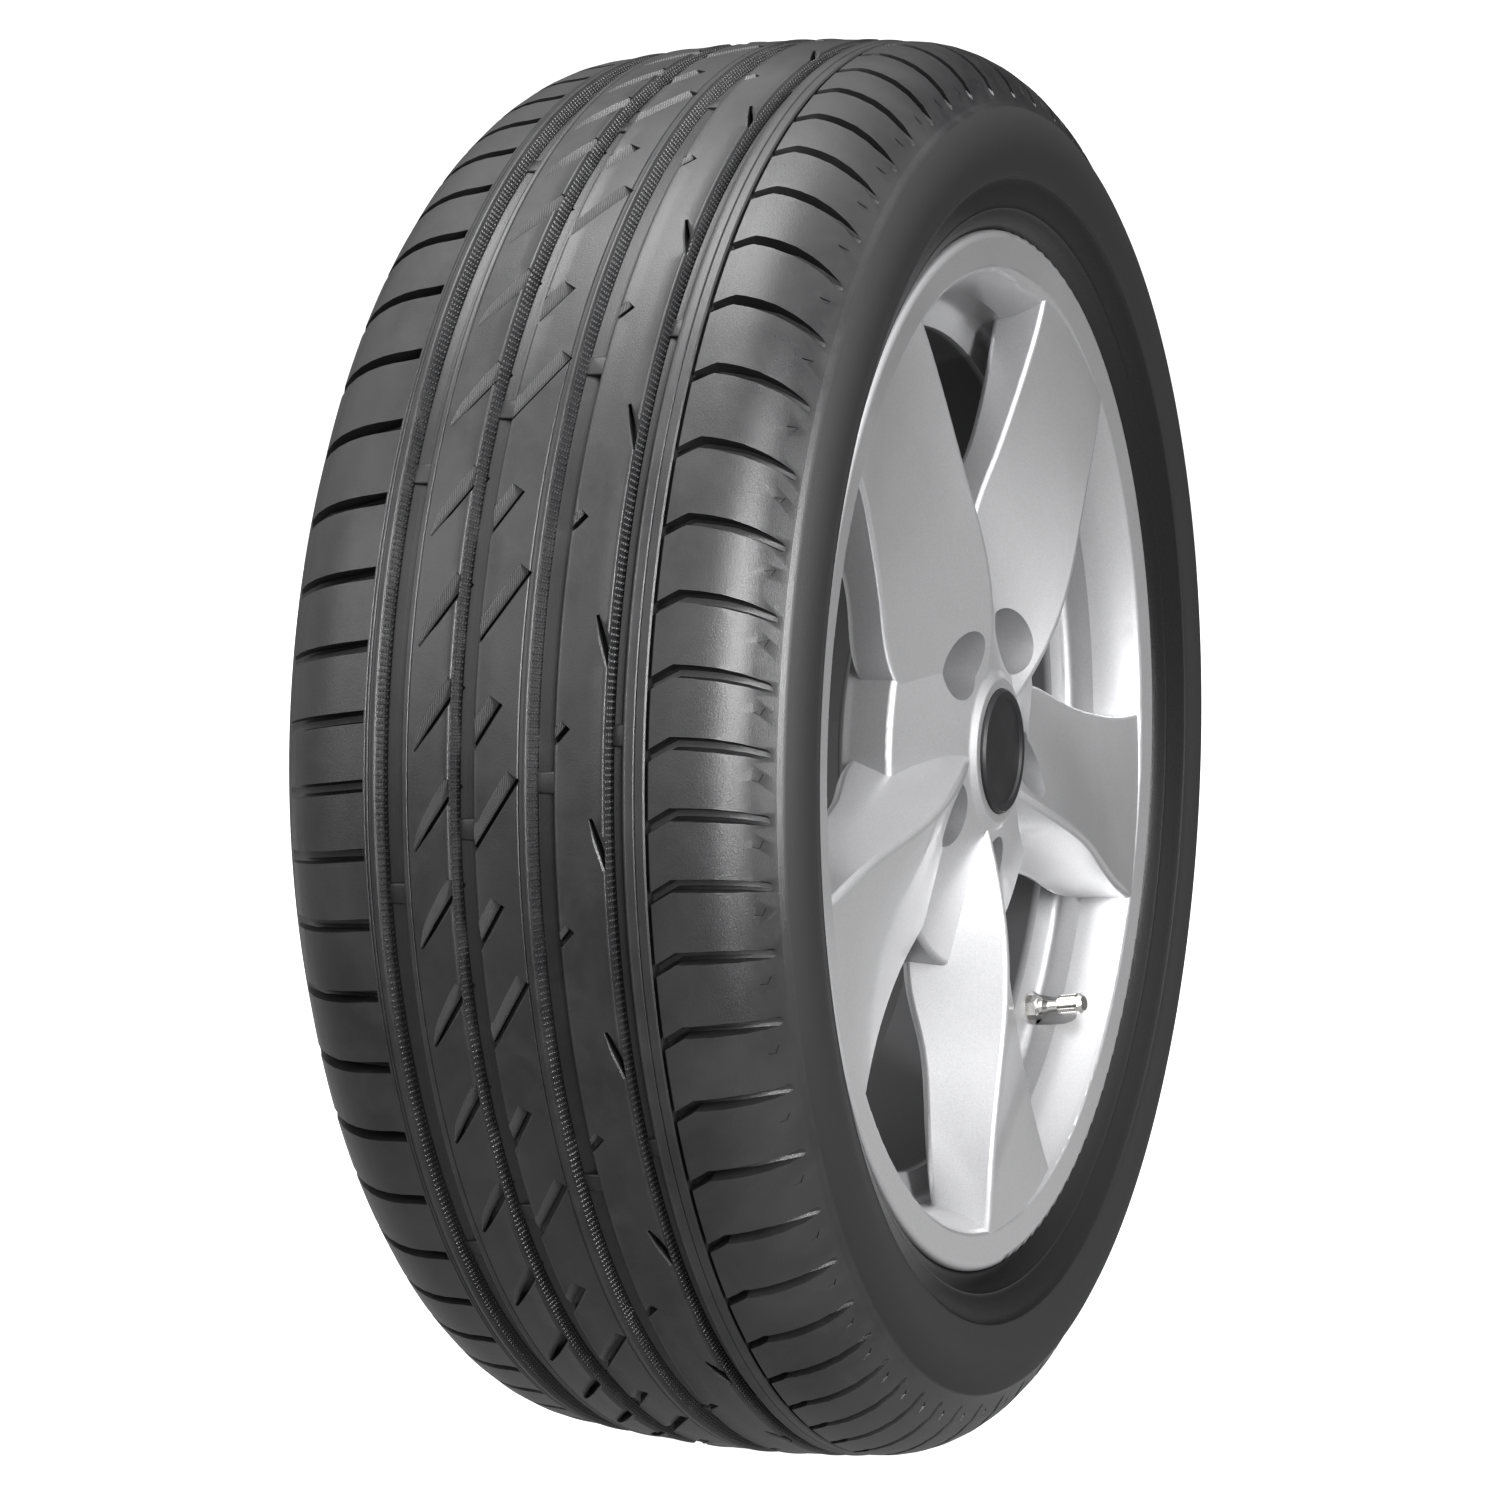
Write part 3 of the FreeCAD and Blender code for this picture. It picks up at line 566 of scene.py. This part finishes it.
def spun(line: Sequence[Pair], turns: int, closed: bool) -> bmesh.types.BMesh:
    """Turn a section about the axle.

    Args:
        line: radius and distance along the axle of each point.
        turns: steps of the full turn.
        closed: whether the last point joins the first.

    Returns:
        The surface, with its normals outwards.
    """
    shape = bmesh.new()
    verts = [shape.verts.new((r, y, 0.0)) for r, y in line]
    pairs = list(zip(verts, verts[1:])) + ([(verts[-1], verts[0])] if closed else [])
    edges = [shape.edges.new(pair) for pair in pairs]
    bmesh.ops.spin(shape, geom=verts + edges, cent=(0, 0, 0), axis=(0, 1, 0), angle=2.0 * math.pi,
                   steps=turns, use_merge=True)
    bmesh.ops.remove_doubles(shape, verts=shape.verts, dist=MERGE_MM)
    bmesh.ops.recalc_face_normals(shape, faces=shape.faces)
    return shape


@dataclass(frozen=True)
class Cut:
    """A slanted cut of a rib, repeated round the tyre.

    Attributes:
        count: how many each pitch of the tread has.
        start: angle of the first one in degrees.
        high: where it begins across the tread.
        low: where it ends across the tread.
        along: how far it runs round the tyre.
        width: its width.
        chamfer: width of the sloped edge on one side.
        tail: share of its length that is drawn in.
    """

    count: int
    start: float
    high: float
    low: float
    along: float
    width: float
    chamfer: float
    tail: float


@dataclass(frozen=True)
class Station:
    """A place on the way of a shoulder slot.

    Attributes:
        y: distance from the middle plane.
        z: distance round the tyre.
        half: half the slot's width.
        floor: radius of the slot's floor.
        flare: how far the +z edge leans out at the top.
    """

    y: float
    z: float
    half: float
    floor: float
    flare: float = 0.0


@dataclass
class Tyre:
    """The tyre with its rain grooves, shoulder slots, slanted cuts, rings, knurls and wear bars.

    Lengths are in millimetres, and angles in degrees unless said otherwise.

    Attributes:
        shoulder, lug_end, upper, widest, lower, foot, bead, liner, crown_inside: places of the section,
            each a radius and a distance from the middle plane.
        grooves: the two edges of each rain groove.
        bank: depth of the bend in a groove's wall, and shares of its width at the bend and the floor.
        sipe: place, half width and depth of the narrow groove beside the outer shoulder.
        rings: radius, half width and height of each ring of the sidewall.
        swing: how far pitches wander in radians, how many times a turn, and from where.
        inner_floor: distance from the middle plane and radius along an inner shoulder slot's floor.
        mark_turn: turn of a shoulder mark in radians.
        top: radius that the tools for slots and cuts reach out to.
        knurl: depths between which a groove's wall is knurled.
        knurl_edges: how the knurled strip's upper and lower edge sink into the wall, radius and place.
        bars: angle of the first wear bar of each groove.
        bar_ends: how far a wear bar runs short of, or past, the groove's two walls.
    """

    shop: Workshop
    crown_radius: float = 323.4
    crown_arc: float = 560.0
    tread_edge: float = 63.0
    shoulder: Pair = (309.5, 92.0)
    lug_end: Pair = (291.6, 105.0)
    upper: Pair = (282.0, 111.6)
    widest: Pair = (272.0, 113.0)
    lower: Pair = (258.0, 108.6)
    foot: Pair = (239.0, 98.8)
    bead: tuple[Pair, ...] = ((236.4, 95.6), (233.0, 90.4), (226.2, 88.4), (219.2, 88.4), (217.4, 71.2))
    liner: tuple[Pair, ...] = ((233.0, 82.0), (251.0, 99.0), (270.0, 104.5), (289.0, 95.0), (303.5, 62.0))
    crown_inside: Pair = (306.0, 0.0)
    grooves: tuple[Pair, ...] = ((51.0, 37.7), (17.9, 6.0), (-15.3, -27.8), (-46.9, -55.1))
    depth: float = 8.0
    slope: float = 1.8
    bank: tuple[float, float, float] = (5.4, 0.22, 0.48)
    bank_round: float = 1.5
    floor_round: float = 3.0
    far_round: float = 1.6
    rib_round: float = 0.6
    lines: tuple[float, ...] = (55.0, 53.6, 35.6, -12.5, -59.2)
    line_cut: float = 0.45
    sipe: tuple[float, float, float] = (-63.9, 0.6, 3.0)
    rings: tuple[tuple[float, float, float], ...] = (
        (290.6, 0.9, 0.5), (258.4, 0.9, 0.55), (245.0, 0.7, 0.35))
    ring_shares: tuple[float, ...] = (-1.0, -0.6, 0.0, 0.6, 1.0)
    ring_clear: float = 1.5
    wall_top: float = 0.2
    wall_step: int = 4
    wall_feel: float = 0.5
    turns: int = 300
    span: float = 6.0
    pitches: int = 24
    slots: int = 68
    swing: tuple[float, int, float] = (0.0167, 6, 149.0)
    outer_at: float = 1.31
    inner_at: float = 5.16
    slot_across: int = 4
    slot_crown: float = 1.2
    outer_way: tuple[Station, ...] = (
        Station(-63.4, 5.8, 2.4, 313.9), Station(-68.0, 3.0, 2.4, 312.6),
        Station(-73.0, 0.0, 2.4, 311.0), Station(-80.0, 0.0, 2.4, 308.6, 0.6),
        Station(-88.0, 0.4, 2.4, 305.6, 1.4), Station(-96.0, 1.6, 2.2, 300.0, 1.6),
        Station(-102.0, 3.2, 1.9, 294.9, 1.2), Station(-108.0, 5.2, 1.5, 291.8, 0.6))
    inner_floor: tuple[Pair, ...] = (
        (56.0, 314.4), (72.0, 310.0), (88.0, 305.6), (96.0, 299.8), (104.0, 293.2), (108.0, 291.8))
    inner_lean: float = 0.113
    inner_half: float = 2.5
    mark_at: float = -101.0
    mark_turn: float = 0.9
    mark_radii: Pair = (2.0, 3.4)
    mark_depth: float = 1.6
    mark_stretch: tuple[float, float, float] = (1.5, 0.6, 1.0)
    top: float = 335.0
    cuts: tuple[Cut, ...] = (
        Cut(2, 7.07, 32.5, 14.5, 26.0, 2.2, 4.0, 0.35), Cut(1, 13.9, 8.0, -12.0, 30.0, 2.2, 4.0, 0.0),
        Cut(1, 8.34, 8.0, -4.0, 19.0, 2.2, 4.0, 0.0), Cut(1, 10.0, -24.5, -32.6, 9.0, 2.6, 2.0, 0.5),
        Cut(1, 5.5, -41.6, -48.0, -19.0, 2.0, 2.6, 0.45))
    cut_depth: float = 6.0
    cut_edge: float = 0.25
    cut_slope: float = 0.7
    cut_tail: float = 0.35
    cut_hatched: float = 0.3
    tread_sharp: float = 32.0
    knurl: Pair = (0.9, 5.2)
    knurl_rows: int = 4
    knurl_count: int = 1600
    knurl_height: float = 0.4
    knurl_proud: float = 0.06
    knurl_edges: tuple[Pair, Pair] = ((0.1, 0.5), (-0.3, 0.5))
    knurl_sharp: float = 25.0
    bars: tuple[float, ...] = (7.4, 2.6, 29.2, 25.9)
    bar_count: int = 12
    bar_half: float = 4.2
    bar_rise: float = 3.6
    bar_thick: float = 3.0
    bar_bevel: float = 0.9
    bar_steps: int = 3
    bar_ends: Pair = (0.5, 0.6)
    bar_sharp: float = 40.0

    def surface(self, y: float) -> float:
        """Radius of the tread and shoulder at a distance from the middle plane."""
        away = abs(y)
        if away <= self.tread_edge:
            return self.crown_radius - y * y / (2.0 * self.crown_arc)
        edge = (self.surface(self.tread_edge), self.tread_edge)
        r, centre, arc = circle_through(edge, self.shoulder, self.lug_end)
        return r + math.sqrt(arc * arc - (away - centre) ** 2)

    def side(self, r: float) -> float:
        """Distance of the sidewall from the middle plane at a radius."""
        ends = (self.lug_end, self.upper, self.widest)
        if r < self.widest[0]:
            ends = (self.widest, self.lower, self.foot)
        middle, y, arc = circle_through(*ends)
        return y + math.sqrt(arc * arc - (r - middle) ** 2)

    def groove(self, high: float, low: float) -> list[Pair]:
        """Section of a rain groove, from one rib to the next."""
        lead = 2.0 * self.rib_round
        corners = [(self.surface(high + lead), high + lead, 0.0), (self.surface(high), high, self.rib_round),
                   (self.surface(high) - self.bank[0], high - self.bank[1] * (high - low), self.bank_round),
                   (self.surface(high) - self.depth, high - self.bank[2] * (high - low), self.floor_round),
                   (self.surface(low) - self.depth, low + self.slope, self.far_round),
                   (self.surface(low), low, self.rib_round), (self.surface(low - lead), low - lead, 0.0)]
        return soften(corners)

    def tread(self) -> list[Pair]:
        """Section of tread and shoulders, from the inner side to the outer."""
        stops = [self.groove(high, low) for high, low in self.grooves]
        cut = self.line_cut
        for y in self.lines:
            stops.append([(self.surface(y + cut), y + cut), (self.surface(y) - cut, y),
                          (self.surface(y - cut), y - cut)])
        y, half, deep = self.sipe
        stops.append([(self.surface(y + 2 * half), y + 2 * half), (self.surface(y) - half, y + half),
                      (self.surface(y) - deep, y + half), (self.surface(y) - deep, y - half),
                      (self.surface(y) - half, y - half), (self.surface(y - 2 * half), y - 2 * half)])
        stops.sort(key=lambda stop: -stop[0][1])
        edge = self.lug_end[1]
        line = [self.lug_end]
        for stop in stops + [[(self.lug_end[0], -edge)]]:
            start, end = line[-1][1], stop[0][1]
            parts = max(1, round((start - end) / self.span))
            for part in range(1, parts):
                y = start + (end - start) * part / parts
                line.append((self.surface(y), y))
            line.extend(stop)
        return line

    def wall(self) -> list[Pair]:
        """Section of the sidewall with its raised rings, from the shoulder down to the rim."""
        marks = {self.lug_end[0] - self.wall_top, self.foot[0]}
        step = self.wall_step
        for r in range(int(self.foot[0]) + step, int(self.lug_end[0]) - step + 1, step):
            marks.add(float(r))
        for centre, half, _ in self.rings:
            marks -= {r for r in marks if abs(r - centre) < self.ring_clear * half}
            marks |= {centre + half * share for share in self.ring_shares}
        line = []
        for r in sorted(marks, reverse=True):
            lift = sum(height * math.cos(0.5 * math.pi * min(1.0, abs(r - centre) / half)) ** 2
                       for centre, half, height in self.rings)
            above = min(r + self.wall_feel, self.lug_end[0])
            below = r - self.wall_feel
            tilt = math.atan2(self.side(above) - self.side(below), -1.0)
            line.append((r + lift * math.sin(tilt), self.side(r) + lift * abs(math.cos(tilt))))
        return line

    def section(self) -> list[Pair]:
        """The whole closed section."""
        half = [*self.wall(), *self.bead, *self.liner]
        outer = [(r, -y) for r, y in half]
        return half[::-1] + self.tread() + outer + [self.crown_inside]

    def pitch(self, even: float) -> float:
        """Angle of a place of an even pattern, since real pitches grow and shrink."""
        size, waves, phase = self.swing
        return even + math.degrees(size * math.sin(math.radians(waves * (even - phase))))

    def slot_cutter(self, stations: Sequence[Station]) -> bmesh.types.BMesh:
        """Cutter of a shoulder slot: a floor strip along its way, drawn out past the tread."""
        shape = bmesh.new()
        last = len(stations) - 1
        bmesh.ops.create_grid(shape, x_segments=last, y_segments=self.slot_across, size=0.5)
        for vert in shape.verts:
            station = stations[round((vert.co.x + 0.5) * last)]
            share = 2.0 * vert.co.y
            crown = self.slot_crown * share ** 4
            vert.co = (station.floor + crown, station.y, station.z + share * station.half)
        floor = shape.faces[:]
        drawn = bmesh.ops.duplicate(shape, geom=shape.verts[:] + shape.edges[:] + floor)
        lifted = [item for item in drawn["geom"] if isinstance(item, bmesh.types.BMVert)]
        for vert in lifted:
            station = min(stations, key=lambda each: abs(each.y - vert.co.y))
            share = (vert.co.z - station.z) / station.half
            vert.co.x = self.top
            vert.co.z += station.flare * max(0.0, share)
        bmesh.ops.bridge_loops(shape, edges=[edge for edge in shape.edges if edge.is_boundary])
        bmesh.ops.recalc_face_normals(shape, faces=shape.faces)
        return shape

    def bar_cutter(self, cut: Cut) -> bmesh.types.BMesh:
        """Cutter of a slanted cut: a chamfered section drawn along it, thinner at its tail."""
        length = math.hypot(cut.high - cut.low, cut.along)
        middle = 0.5 * (cut.high + cut.low)
        top = self.surface(middle)
        half = 0.5 * cut.width
        edge = self.cut_edge * cut.chamfer
        section = [(top - self.cut_depth, -half), (top - self.cut_depth, half), (top - edge, half),
                   (top, half + edge), (self.top, half + edge), (self.top, -half - cut.chamfer),
                   (top, -half - cut.chamfer), (top - self.cut_slope * cut.chamfer, -half)]
        shape = bmesh.new()
        verts = [shape.verts.new((x, -0.5 * length, z)) for x, z in section]
        face = shape.faces.new(verts)
        for reach, share in (((1.0 - cut.tail) * length, 1.0), (cut.tail * length, self.cut_tail)):
            if not reach:
                continue
            drawn = bmesh.ops.extrude_face_region(shape, geom=[face])
            ends = [item for item in drawn["geom"] if isinstance(item, bmesh.types.BMVert)]
            if share < 1.0:
                bmesh.ops.delete(shape, geom=[face], context="FACES_ONLY")
            face = next(item for item in drawn["geom"] if isinstance(item, bmesh.types.BMFace))
            bmesh.ops.translate(shape, verts=ends, vec=(0.0, reach, 0.0))
            bmesh.ops.scale(shape, verts=ends, vec=(1.0, 1.0, share))
        bmesh.ops.recalc_face_normals(shape, faces=shape.faces)
        for face in shape.faces:
            face.material_index = int(min(abs(face.normal.x), abs(face.normal.z)) > self.cut_hatched)
        slant = math.atan2(cut.along, cut.high - cut.low)
        place = Matrix.Translation((0.0, middle, 0.5 * cut.along)) @ Matrix.Rotation(slant, 4, "X")
        bmesh.ops.transform(shape, matrix=place, verts=shape.verts)
        return shape

    def mark_cutter(self) -> bmesh.types.BMesh:
        """Cutter of a small three-cornered mark near the edge of the outer shoulder."""
        shape = bmesh.new()
        bmesh.ops.create_cone(shape, cap_ends=True, segments=3, radius1=self.mark_radii[0],
                              radius2=self.mark_radii[1], depth=self.mark_depth)
        bmesh.ops.scale(shape, verts=shape.verts, vec=self.mark_stretch)
        edge = (self.surface(self.tread_edge), self.tread_edge)
        r, centre, _ = circle_through(edge, self.shoulder, self.lug_end)
        high = self.surface(self.mark_at)
        out = Vector((high - r, self.mark_at + centre, 0.0)).normalized()
        turn = Vector((0.0, 0.0, 1.0)).rotation_difference(out).to_matrix().to_4x4()
        place = Matrix.Translation((high, self.mark_at, 0.0)) @ turn @ Matrix.Rotation(self.mark_turn, 4, "Z")
        bmesh.ops.transform(shape, matrix=place, verts=shape.verts)
        bmesh.ops.recalc_face_normals(shape, faces=shape.faces)
        return shape

    def cutters(self) -> bmesh.types.BMesh:
        """All slots and cuts round the tyre in one shape."""
        lean = self.inner_floor[0][0]
        inner = [Station(y, self.inner_lean * (y - lean), self.inner_half, floor)
                 for y, floor in self.inner_floor]
        kinds = [(self.slot_cutter(self.outer_way), self.slots, self.outer_at),
                 (self.slot_cutter(inner), self.slots, self.inner_at),
                 (self.mark_cutter(), self.slots, self.outer_at + 180.0 / self.slots)]
        for cut in self.cuts:
            kinds.append((self.bar_cutter(cut), self.pitches * cut.count, cut.start))
        whole = bmesh.new()
        for shape, count, start in kinds:
            pattern = bpy.data.meshes.new("pattern")
            shape.to_mesh(pattern)
            shape.free()
            for index in range(count):
                known = len(whole.verts)
                whole.from_mesh(pattern)
                whole.verts.ensure_lookup_table()
                turn = about_axle(self.pitch(start + 360.0 / count * index))
                bmesh.ops.transform(whole, matrix=turn, verts=whole.verts[known:])
            bpy.data.meshes.remove(pattern)
        return whole

    def body(self) -> None:
        """The tyre itself: turned, then cut."""
        rough = self.shop.loose("tyre_turned", spun(self.section(), self.turns, True))
        tool = self.shop.loose("tyre_cutters", self.cutters())
        for made in (rough, tool):
            made.data.materials.append(self.shop.finish[Slot.RUBBER])
            made.data.materials.append(self.shop.sheen_hatched)
        step = rough.modifiers.new("cuts", "BOOLEAN")
        step.operation = "DIFFERENCE"
        step.solver = "MANIFOLD"
        step.object = tool
        graph = bpy.context.evaluated_depsgraph_get()
        mesh = bpy.data.meshes.new_from_object(rough.evaluated_get(graph))
        shape = bmesh.new()
        shape.from_mesh(mesh)
        for made in (rough, tool):
            bpy.data.objects.remove(made)
        bpy.data.meshes.remove(mesh)
        tread = self.shop.place("tyre_tread", shape, Body.WHEEL, Slot.RUBBER, self.tread_sharp, ("tyre",))
        tread.data.materials.append(self.shop.sheen_hatched)

    def wall_line(self, high: float, low: float) -> list[Pair]:
        """Points down the knurled part of a groove's wall, evenly spaced."""
        top = self.surface(high)
        line = [(r, y) for r, y in self.groove(high, low) if y <= high]
        marks = []
        for row in range(self.knurl_rows + 1):
            deep = self.knurl[0] + (self.knurl[1] - self.knurl[0]) * row / self.knurl_rows
            for (r0, y0), (r1, y1) in zip(line, line[1:]):
                if r1 <= top - deep <= r0:
                    share = (r0 - top + deep) / (r0 - r1)
                    marks.append((top - deep, y0 + (y1 - y0) * share))
                    break
        return marks

    def knurls(self) -> None:
        """Staggered points on the wall of each rain groove."""
        for number, (high, low) in enumerate(self.grooves, 1):
            line = [(r, y - self.knurl_proud) for r, y in self.wall_line(high, low)]
            (top_r, top_y), (foot_r, foot_y) = self.knurl_edges
            top = (line[0][0] + top_r, line[0][1] + top_y)
            line = [top] + line + [(line[-1][0] + foot_r, line[-1][1] + foot_y)]
            shape = spun(line, self.knurl_count, False)
            rings = sorted({round(math.hypot(vert.co.x, vert.co.z), 2) for vert in shape.verts}, reverse=True)
            chosen = []
            step = 2.0 * math.pi / self.knurl_count
            for face in shape.faces:
                middle = face.calc_center_median()
                r = math.hypot(middle.x, middle.z)
                row = sum(r < ring for ring in rings)
                turn = int((math.atan2(middle.z, middle.x) + math.pi) / step)
                if 1 < row < len(rings) - 1 and (row + turn) % 2:
                    chosen.append(face)
                if face.normal.y > 0.0:
                    face.normal_flip()
            bmesh.ops.poke(shape, faces=chosen, offset=self.knurl_height)
            self.shop.place(f"knurl_{number}", shape, Body.WHEEL, Slot.RUBBER, self.knurl_sharp)

    def wear_bars(self) -> None:
        """Low rounded blocks across the floor of each rain groove."""
        for number, ((high, low), first) in enumerate(zip(self.grooves, self.bars), 1):
            whole = bmesh.new()
            floor = self.surface(high) - self.depth
            start, end = low + self.bar_ends[0], high - self.slope + self.bar_ends[1]
            for index in range(self.bar_count):
                made = bmesh.ops.create_cube(whole, size=1.0)["verts"]
                edges = list({edge for vert in made for edge in vert.link_edges})
                bmesh.ops.scale(whole, verts=made, vec=(self.bar_thick, start - end, 2.0 * self.bar_half))
                grown = bmesh.ops.bevel(whole, geom=edges, offset=self.bar_bevel, segments=self.bar_steps,
                                        profile=0.5, affect="EDGES", material=-1)["verts"]
                turn = about_axle(first + 360.0 / self.bar_count * index)
                middle = floor + self.bar_rise - 0.5 * self.bar_thick
                place = turn @ Matrix.Translation((middle, 0.5 * (start + end), 0.0))
                bmesh.ops.transform(whole, matrix=place, verts=grown)
            bmesh.ops.recalc_face_normals(whole, faces=whole.faces)
            self.shop.place(f"wear_bars_{number}", whole, Body.WHEEL, Slot.RUBBER, self.bar_sharp)

    def build(self) -> None:
        """Make every piece of the tyre."""
        self.body()
        self.knurls()
        self.wear_bars()


@dataclass
class ValveSpring:
    """The spring of the valve core, which shortens as the pin is pressed; here its shape is only copied."""

    shop: Workshop
    node: str = "valve_core_spring"
    joint: str = "pin_press"
    travel: float = 0.0015
    merge: float = 1e-6
    sharp: float = 40.0

    def build(self) -> None:
        """Copy the spring's shape into a piece of its own."""
        shape = bmesh.new()
        shape.from_mesh(frame["nodes"][self.node].data)
        bmesh.ops.remove_doubles(shape, verts=shape.verts, dist=self.merge)
        bmesh.ops.scale(shape, vec=(1.0 / MM, 1.0 / MM, 1.0 / MM), verts=shape.verts)
        spring = self.shop.place("core_spring", shape, Body.WHEEL, Slot.SPRING, self.sharp, (self.node,))
        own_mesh(spring)


@dataclass(frozen=True)
class Glow:
    """A broad soft patch of light in the surroundings, or of shade where its power is below zero.

    Attributes:
        towards: the way it lies.
        edge: cosine of the angle from there at which it begins.
        core: cosine of the angle at which it is full.
        power: what it adds to the room's light.
    """

    towards: tuple[float, float, float]
    edge: float
    core: float
    power: float


@dataclass(frozen=True)
class Softbox:
    """A soft rectangular light that faces the wheel's centre.

    Attributes:
        name: its name.
        place: where it stands.
        size: its width and height.
        power: its power in watts.
    """

    name: str
    place: tuple[float, float, float]
    size: Pair
    power: float

    def hang(self) -> None:
        """Put the light in the scene."""
        data = bpy.data.lights.new(self.name, "AREA")
        data.shape = "RECTANGLE"
        data.size, data.size_y = self.size
        data.energy = self.power
        lamp = bpy.data.objects.new(self.name, data)
        lamp.location = self.place
        lamp.rotation_euler = (-Vector(self.place)).to_track_quat("-Z", "Y").to_euler()
        bpy.context.scene.collection.objects.link(lamp)


@dataclass
class Studio:
    """Pale floor, graded surroundings, soft lights and the camera, in metres."""

    eye: Vector = field(default_factory=lambda: Vector((-1.425497, -0.577980, 0.093013)))
    look: Vector = field(default_factory=lambda: Vector((0.918037, 0.391696, -0.061505)))
    lens: float = 78.9
    sensor: float = 36.0
    floor_half: float = 60.0
    room: float = 0.62
    glows: tuple[Glow, ...] = (
        Glow((0.93, -0.37, 0.05), 0.5, 0.97, -0.45),
        Glow((-0.4, 0.2, 0.9), 0.1, 1.0, 0.8),
        Glow((-0.92, -0.3, 0.2), 0.3, 1.0, 0.3),
        Glow((0.3, -0.95, 0.3), 0.7, 1.0, 0.3),
        Glow((0.88, 0.45, 0.1), 0.55, 0.98, -0.4),
        Glow((-0.92, -0.39, 0.1), 0.85, 1.0, 0.9),
    )
    floor_shown: float = 0.9
    floor_near: float = 0.3
    floor_far: float = 0.42
    floor_side: float = -0.34
    floor_away: float = -0.36
    floor_behind_span: Pair = (0.5, 1.3)
    floor_beside_span: Pair = (-1.5, -0.3)
    floor_away_span: Pair = (1.5, 2.6)
    floor_rough: float = 0.95
    floor_unseen: Colour = (0.1, 0.1, 0.1, 1.0)
    floor_seen: Colour = (0.4, 0.4, 0.4, 1.0)
    clip_start: float = 0.01
    lamps: tuple[Softbox, ...] = (
        Softbox("key", (-1.3, -2.2, 0.5), (0.35, 2.0), 95.0),
        Softbox("fill", (-2.0, 1.6, 0.9), (0.6, 1.8), 10.0),
        Softbox("top", (-0.5, 0.1, 2.2), (1.6, 0.8), 34.0),
    )

    def build(self) -> None:
        """Set up everything that isn't the wheel."""
        self.floor()
        self.surroundings()
        self.lights()
        self.camera()

    def floor(self) -> None:
        """A plain pale floor under the tyre."""
        mesh = bpy.data.meshes.new("floor")
        shape = bmesh.new()
        bmesh.ops.create_grid(shape, x_segments=1, y_segments=1, size=self.floor_half)
        bmesh.ops.translate(shape, verts=shape.verts, vec=(0.0, 0.0, CAD_BOX[0][2]))
        shape.to_mesh(mesh)
        shape.free()
        floor = bpy.data.objects.new("floor", mesh)
        bpy.context.scene.collection.objects.link(floor)
        material = bpy.data.materials.new("floor_pale")
        material.use_nodes = True
        shader = material.node_tree.nodes["Principled BSDF"]
        shader.inputs["Roughness"].default_value = self.floor_rough
        shader.inputs["Specular IOR Level"].default_value = 0.0
        shader.inputs["Emission Color"].default_value = WHITE
        wire = Wire(material.node_tree)
        path = wire.add("ShaderNodeLightPath")
        spot = wire.add("ShaderNodeTexCoord")
        axes = wire.add("ShaderNodeSeparateXYZ", Vector=spot.outputs["Object"])
        behind = wire.ramp(axes.outputs[0], *self.floor_behind_span, self.floor_near, self.floor_far)
        beside = wire.ramp(axes.outputs[1], *self.floor_beside_span, self.floor_side, 0.0)
        away = wire.ramp(axes.outputs[0], *self.floor_away_span, 0.0, self.floor_away)
        unseen = wire.math("MAXIMUM", wire.math("ADD", wire.math("ADD", behind, beside), away), 0.0)
        seen = path.outputs["Is Camera Ray"]
        wire.set(shader, "Base Color", wire.blend(seen, self.floor_unseen, self.floor_seen))
        wire.set(shader, "Emission Strength", wire.ramp(seen, 0.0, 1.0, unseen, self.floor_shown))
        mesh.materials.append(material)

    def surroundings(self) -> None:
        """White to the eye, but graded for what the wheel mirrors, as in a light tent."""
        world = bpy.data.worlds.new("light_tent")
        world.use_nodes = True
        wire = Wire(world.node_tree)
        spot = wire.add("ShaderNodeTexCoord")
        total: object = self.room
        for glow in self.glows:
            way = Vector(glow.towards).normalized()
            facing = wire.add("ShaderNodeVectorMath", operation="DOT_PRODUCT")
            wire.set(facing, 0, spot.outputs["Generated"])
            wire.set(facing, 1, way)
            patch = wire.add("ShaderNodeMapRange", interpolation_type="SMOOTHSTEP")
            for index, value in enumerate((facing.outputs["Value"], glow.edge, glow.core, 0.0, glow.power)):
                wire.set(patch, index, value)
            total = wire.math("ADD", total, patch.outputs[0])
        path = wire.add("ShaderNodeLightPath")
        seen = wire.math("MAXIMUM", total, path.outputs["Is Camera Ray"])
        sky = world.node_tree.nodes["Background"]
        wire.set(sky, "Color", WHITE)
        wire.set(sky, "Strength", seen)
        bpy.context.scene.world = world
        bpy.context.scene.view_settings.view_transform = "Standard"
        bpy.context.scene.view_settings.look = "Medium High Contrast"

    def lights(self) -> None:
        """Key from the front right, fill from the left, and a light overhead."""
        for lamp in self.lamps:
            lamp.hang()

    def camera(self) -> None:
        """The camera of the photograph."""
        data = bpy.data.cameras.new("photo_camera")
        data.sensor_width = self.sensor
        data.lens = self.lens
        data.clip_start = self.clip_start
        camera = bpy.data.objects.new("photo_camera", data)
        camera.location = self.eye
        camera.rotation_euler = self.look.to_track_quat("-Z", "Y").to_euler()
        bpy.context.scene.collection.objects.link(camera)
        bpy.context.scene.camera = camera


def main() -> None:
    """Build the wheel piece by piece."""
    logging.basicConfig(level=logging.INFO, format="%(message)s")
    shop = Workshop()
    shop.dress_nodes()
    Tyre(shop).build()
    ValveSpring(shop).build()
    Studio().build()


if __name__ == "__main__":
    main()
